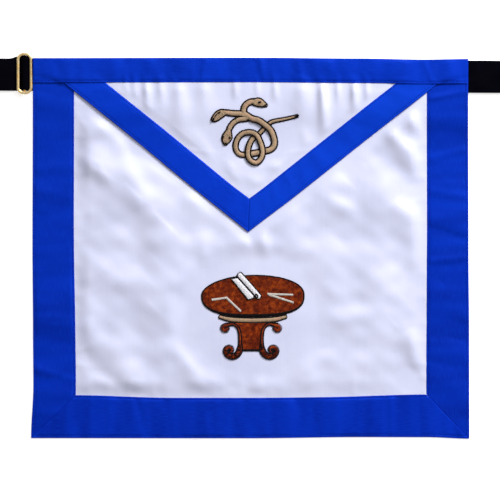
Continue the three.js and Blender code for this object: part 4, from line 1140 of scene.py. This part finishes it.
SATIN_TONES = [(0.62, 0.64, 0.84), (0.68, 0.70, 0.90), (0.74, 0.76, 0.93)]
RIBBON_TONES = [(0.0007, 0.012, 0.30), (0.0012, 0.025, 0.47), (0.0038, 0.060, 0.64)]
ELASTIC_TONES = [(0.0008, 0.0008, 0.0022), (0.0022, 0.0020, 0.0044)]
GILT_TONES = [(0.97, 0.63, 0.24), (1.0, 0.80, 0.44)]
FLOOR_TONE = (0.93, 0.93, 0.93, 1)


class Looks:
    """A Principled material with helpers for the few nodes that the looks below need."""

    def __init__(self, name, **sockets):
        self.material = bpy.data.materials.new(name)
        self.material.use_nodes = True
        self.tree = self.material.node_tree
        self.tree.nodes.clear()
        output = self.node("ShaderNodeOutputMaterial")
        self.shader = self.node("ShaderNodeBsdfPrincipled")
        self.tree.links.new(self.shader.outputs["BSDF"], output.inputs["Surface"])
        self.set(self.shader, {socket.replace("_", " "): value for socket, value in sockets.items()})
        self.place = self.node("ShaderNodeTexCoord").outputs["Object"]

    def set(self, node, sockets):
        for socket, value in sockets.items():
            if isinstance(value, bpy.types.NodeSocket):
                self.tree.links.new(value, node.inputs[socket])
            else:
                node.inputs[socket].default_value = value

    def node(self, kind, sockets=None, **settings):
        made = self.tree.nodes.new(kind)
        for key, value in settings.items():
            setattr(made, key, value)
        self.set(made, sockets or {})
        return made

    def finish(self, color, roughness, normal):
        self.set(self.shader, {"Base Color": color, "Roughness": roughness, "Normal": normal})
        return self.material

    def turned(self, angle, scale):
        """Object coordinates turned about Z by an angle in degrees, then scaled."""
        sockets = {"Vector": self.place, "Rotation": (0, 0, -math.radians(angle))}
        mapping = self.node("ShaderNodeMapping", sockets, vector_type="POINT")
        sockets = {0: mapping.outputs["Vector"], 1: scale}
        return self.node("ShaderNodeVectorMath", sockets, operation="MULTIPLY").outputs["Vector"]

    def noise(self, vector, scale=1, detail=2, roughness=0.5):
        sockets = {"Vector": vector, "Scale": scale, "Detail": detail, "Roughness": roughness}
        return self.node("ShaderNodeTexNoise", sockets).outputs["Fac"]

    def weave(self, vector, across, along):
        """Even ribs across X and along Y, each given as a pitch in metres and a distortion, added."""
        ribs = []
        for direction, (pitch, distortion) in (("X", across), ("Y", along)):
            sockets = {"Vector": vector, "Scale": 2 * math.pi / (20 * pitch), "Distortion": distortion}
            wave = self.node("ShaderNodeTexWave", sockets, wave_type="BANDS", bands_direction=direction)
            ribs.append(wave.outputs["Fac"])
        return self.node("ShaderNodeMath", dict(enumerate(ribs)), operation="ADD").outputs["Value"]

    def range(self, value, low, high, to_low, to_high):
        sockets = {"Value": value, "From Min": low, "From Max": high, "To Min": to_low, "To Max": to_high}
        return self.node("ShaderNodeMapRange", sockets).outputs["Result"]

    def mix(self, share, a, b):
        a, b = [(*tone, 1) if isinstance(tone, tuple) else tone for tone in (a, b)]
        return self.node("ShaderNodeMix", {0: share, 6: a, 7: b}, data_type="RGBA").outputs[2]

    def bump(self, height, strength, distance, below=None):
        sockets = {"Height": height, "Strength": strength, "Distance": distance}
        if below is not None:
            sockets["Normal"] = below
        return self.node("ShaderNodeBump", sockets).outputs["Normal"]


def satin_look():
    """White satin: long smooth floats, with a faint warp line and a soft change of tone."""
    look = Looks("satin_white", Specular_IOR_Level=0.4)
    cloudy = look.noise(look.place, 22, 3)
    streak = look.noise(look.turned(0, (900, 14, 1)), 1, 2)
    tone = look.mix(look.range(cloudy, 0.35, 0.68, 0, 1), *SATIN_TONES[:2])
    tone = look.mix(look.range(streak, 0.5, 0.8, 0, 0.25), tone, SATIN_TONES[2])
    weave = look.weave(look.place, (0.0006, 0.4), (0.0009, 0.4))
    soft = look.bump(look.noise(look.place, 70, 3, 0.55), 0.12, 0.0012)
    rough = look.range(cloudy, 0.3, 0.7, 0.34, 0.44)
    return look.finish(tone, rough, look.bump(weave, 0.10, 0.00015, soft))


def ribbon_look(name, angle, painted_light_scale, uneven=1, pale=0):
    """Royal blue ribbon: fine ribs along it, softer and darker bands across it that are painted shade and
    sheen, a dull sheen, and painted light that makes it lighter towards the top.
    """
    look = Looks(name, Specular_IOR_Level=0.8, Specular_Tint=(0.02, 0.13, 1.0, 1))
    # Painted light: the scale on these blues makes a lit or a shaded copy of them for each ribbon.
    deep, royal, light = [tuple(c * painted_light_scale for c in tone) for tone in RIBBON_TONES]
    # Painted shade and sheen: soft darker and lighter bands across the ribbon, for the light that its
    # puckers and ribbed weave catch; uneven sets their strength.
    band = look.noise(look.turned(angle, (34, 5, 1)), 1, 2, 0.6)
    fine = look.noise(look.turned(angle, (120, 1500, 1)), 1, 2)
    tone = look.mix(look.range(band, 0.3, 0.7, 0.7 - 0.7 * uneven, 0.7 + 0.3 * uneven), deep, royal)
    tone = look.mix(look.range(fine, 0.45, 0.75, 0, 0.3), tone, light)
    # Painted light: the ribbon turns towards its light tone the higher it lies, painting the fall of the
    # key light towards the bottom; pale adds more of this painted light all along it.
    height = look.node("ShaderNodeSeparateXYZ", {"Vector": look.place}).outputs["Y"]
    tone = look.mix(look.range(height, -0.18, 0.17, pale, pale + 0.15), tone, light)
    turned = look.turned(angle, (1, 1, 1))
    weave = look.weave(turned, (0.0007, 0.6), (0.0009, 0.5))
    soft = look.bump(look.noise(turned, 130, 3), 0.14, 0.0008)
    rough = look.range(band, 0.3, 0.7, 0.44, 0.54)
    return look.finish(tone, rough, look.bump(weave, 0.22, 0.00016, soft))


def thread_look(name, tones, roughness=0.42, patch=45, gloss=0.12):
    """Rayon thread: each stitch has its own tone, with patches where the light runs differently."""
    look = Looks(name, Specular_IOR_Level=gloss)
    tint = look.node("ShaderNodeAttribute", attribute_name="tint").outputs["Fac"]
    tone = look.mix(look.range(tint, 0, 1, 0, 1), *tones[:2])
    if len(tones) > 2:
        patches = look.noise(look.place, patch, 2, 0.5)
        tone = look.mix(look.range(patches, 0.52, 0.66, 0, 0.9), tone, tones[2])
    if len(tones) > 3:
        tone = look.mix(look.range(patches, 0.34, 0.47, 0.85, 0), tone, tones[3])
    rough = look.range(tint, 0, 1, roughness - 0.06, roughness + 0.08)
    return look.finish(tone, rough, look.bump(look.noise(look.place, 3500, 1), 0.2, 0.0001))


def elastic_look():
    """Black woven elastic: ribs along it and a fine cross weave."""
    look = Looks("elastic_black", Specular_IOR_Level=0.01)
    worn = look.noise(look.place, 60, 3)
    tone = look.mix(look.range(worn, 0.3, 0.7, 0, 1), *ELASTIC_TONES)
    weave = look.weave(look.place, (0.0011, 0.3), (0.00058, 0.2))
    return look.finish(tone, look.range(worn, 0.3, 0.7, 0.72, 0.9), look.bump(weave, 0.4, 0.0002))


def gilt_look():
    """Polished gilt metal with a few fine scuffs."""
    look = Looks("gilt", Metallic=0.75)
    scuff = look.noise(look.turned(20, (900, 120, 500)), 1, 3)
    cloud = look.noise(look.place, 220, 2)
    tone = look.mix(look.range(cloud, 0.35, 0.65, 0, 1), *GILT_TONES)
    return look.finish(tone, look.range(scuff, 0.4, 0.75, 0.27, 0.42), look.bump(scuff, 0.08, 0.0001))


# The scene round the apron: the camera in metres, its sensor and the floor in millimetres
CAMERA_HEIGHT = 4.0
VIEW_WIDTH = 0.465
SENSOR = 36
FLOOR_LEVEL = -0.4
FLOOR_REACH = 20000


def studio():
    scene = bpy.context.scene
    scene.view_settings.view_transform = "Standard"
    world = bpy.data.worlds.new("studio")
    scene.world = world
    world.use_nodes = True
    background = world.node_tree.nodes["Background"]
    background.inputs["Color"].default_value = (1.0, 0.985, 0.965, 1)
    background.inputs["Strength"].default_value = 0.22
    area_light("key", (1.5, 2.0, 1.5), 1.2, 120, (0.985, 0.99, 1.0))
    area_light("top", (0.55, 1.05, 2.2), 0.8, 11, (1.0, 0.99, 0.97))
    area_light("fill", (-1.6, -0.9, 2.4), 1.8, 5, (1.0, 0.97, 0.93))
    camera_data = bpy.data.cameras.new("camera")
    camera = linked("camera", camera_data)
    camera.location = (-0.0004, -0.0032, CAMERA_HEIGHT)
    camera_data.sensor_width = SENSOR
    camera_data.lens = SENSOR * CAMERA_HEIGHT / VIEW_WIDTH
    camera_data.clip_end = 100
    scene.camera = camera


def area_light(name, place, size, power, color):
    data = bpy.data.lights.new(name, "AREA")
    data.shape = "DISK"
    data.size = size
    data.energy = power
    data.color = color
    light = linked(name, data)
    light.location = place
    light.rotation_euler = (-Vector(place)).to_track_quat("-Z", "Y").to_euler()


def floor():
    """A plain pale table, lit a little from inside so that it stays near white."""
    corners = [(-1, -1), (1, -1), (1, 1), (-1, 1)]
    points = [(x * FLOOR_REACH, y * FLOOR_REACH, FLOOR_LEVEL) for x, y in corners]
    table = mesh_object("floor", points, [[(0, 1, 2, 3)]])
    look = Looks("floor_pale", Roughness=0.9, Specular_IOR_Level=0.1, Base_Color=FLOOR_TONE,
                 Emission_Color=(1, 1, 1, 1), Emission_Strength=0.6)
    table.data.materials.append(look.material)


def outward(obj):
    """Turns every face of a closed piece outwards."""
    shape = bmesh.new()
    shape.from_mesh(obj.data)
    bmesh.ops.recalc_face_normals(shape, faces=shape.faces)
    shape.to_mesh(obj.data)
    shape.free()
    return obj


def main():
    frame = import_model()
    studio()
    floor()

    satin = satin_look()
    body = dress(outward(body_satin()), satin, "satin", "body_panel")
    flap = dress(outward(flap_satin()), satin, "satin", "flap_panel")

    steep = math.degrees(math.atan2(FLAP_DROP, HALF_WIDTH))
    # Each ribbon's blues carry painted light: the fourth value lights or shades the whole ribbon, the
    # fifth sets its painted bands of shade and sheen, and the last adds painted light all along it.
    ribbons = [
        (side_ribbon(-1), "border_left", 90, 0.95, 1, 0),
        (side_ribbon(1), "border_right", 90, 0.94, 1.2, 0),
        (hem_ribbon(), "border_bottom", 0, 1.0, 1, 0),
        (waistband(), "waistband", 0, 0.96, 1, 0),
        (flap_ribbon(-1), "flap_border_left", -steep, 1.04, 0.3, 0.1),
        (flap_ribbon(1), "flap_border_right", steep, 1.06, 1.1, 0.3),
    ]
    for ribbon, node, angle, painted_light_scale, uneven, pale in ribbons:
        look = ribbon_look(f"{node}_blue", angle, painted_light_scale, uneven, pale)
        dress(outward(ribbon), look, "ribbon", node)
    starts, ends = topstitch(SEAM_LINES)
    stitches = threads("ribbon_topstitch", starts, ends, 0.19, 0.12, random.uniform(0, 1, len(starts)))
    dress(stitches, thread_look("thread_blue", [(0.0012, 0.016, 0.27), (0.003, 0.028, 0.40)], gloss=0.04),
          "ribbon")

    rust = thread_look("thread_rust", [(0.15, 0.014, 0.001), (0.205, 0.024, 0.002), (0.34, 0.052, 0.003),
                                       (0.072, 0.006, 0.001)], patch=330)
    tan = thread_look("thread_tan", [(0.34, 0.235, 0.145), (0.48, 0.35, 0.23), (0.49, 0.30, 0.205)],
                      gloss=0.15, patch=260)
    dark = thread_look("thread_dark", [(0.0035, 0.0025, 0.004), (0.010, 0.006, 0.006)], 0.55, gloss=0.08)
    white = thread_look("thread_white", [(0.70, 0.69, 0.74), (0.84, 0.83, 0.88)], gloss=0.4)
    grey = thread_look("thread_grey", [(0.50, 0.46, 0.43), (0.64, 0.60, 0.57)], gloss=0.2)
    serpent_pieces(tan, dark)
    table_pieces(rust, tan, white, grey, dark)

    elastic = elastic_look()
    for side, node in ((-1, "belt_left"), (1, "belt_right")):
        strap, length = belt(side)
        dress(outward(strap), elastic, "elastic", node)
        print(f"{strap.name} is {length:.0f} mm long")
    gilt = gilt_look()
    for piece in slide():
        dress(outward(piece), gilt, "gilt", "slide")
    clasp = frame["nodes"]["clasp"]
    clasp.data.materials.clear()
    clasp.data.materials.append(gilt)


main()
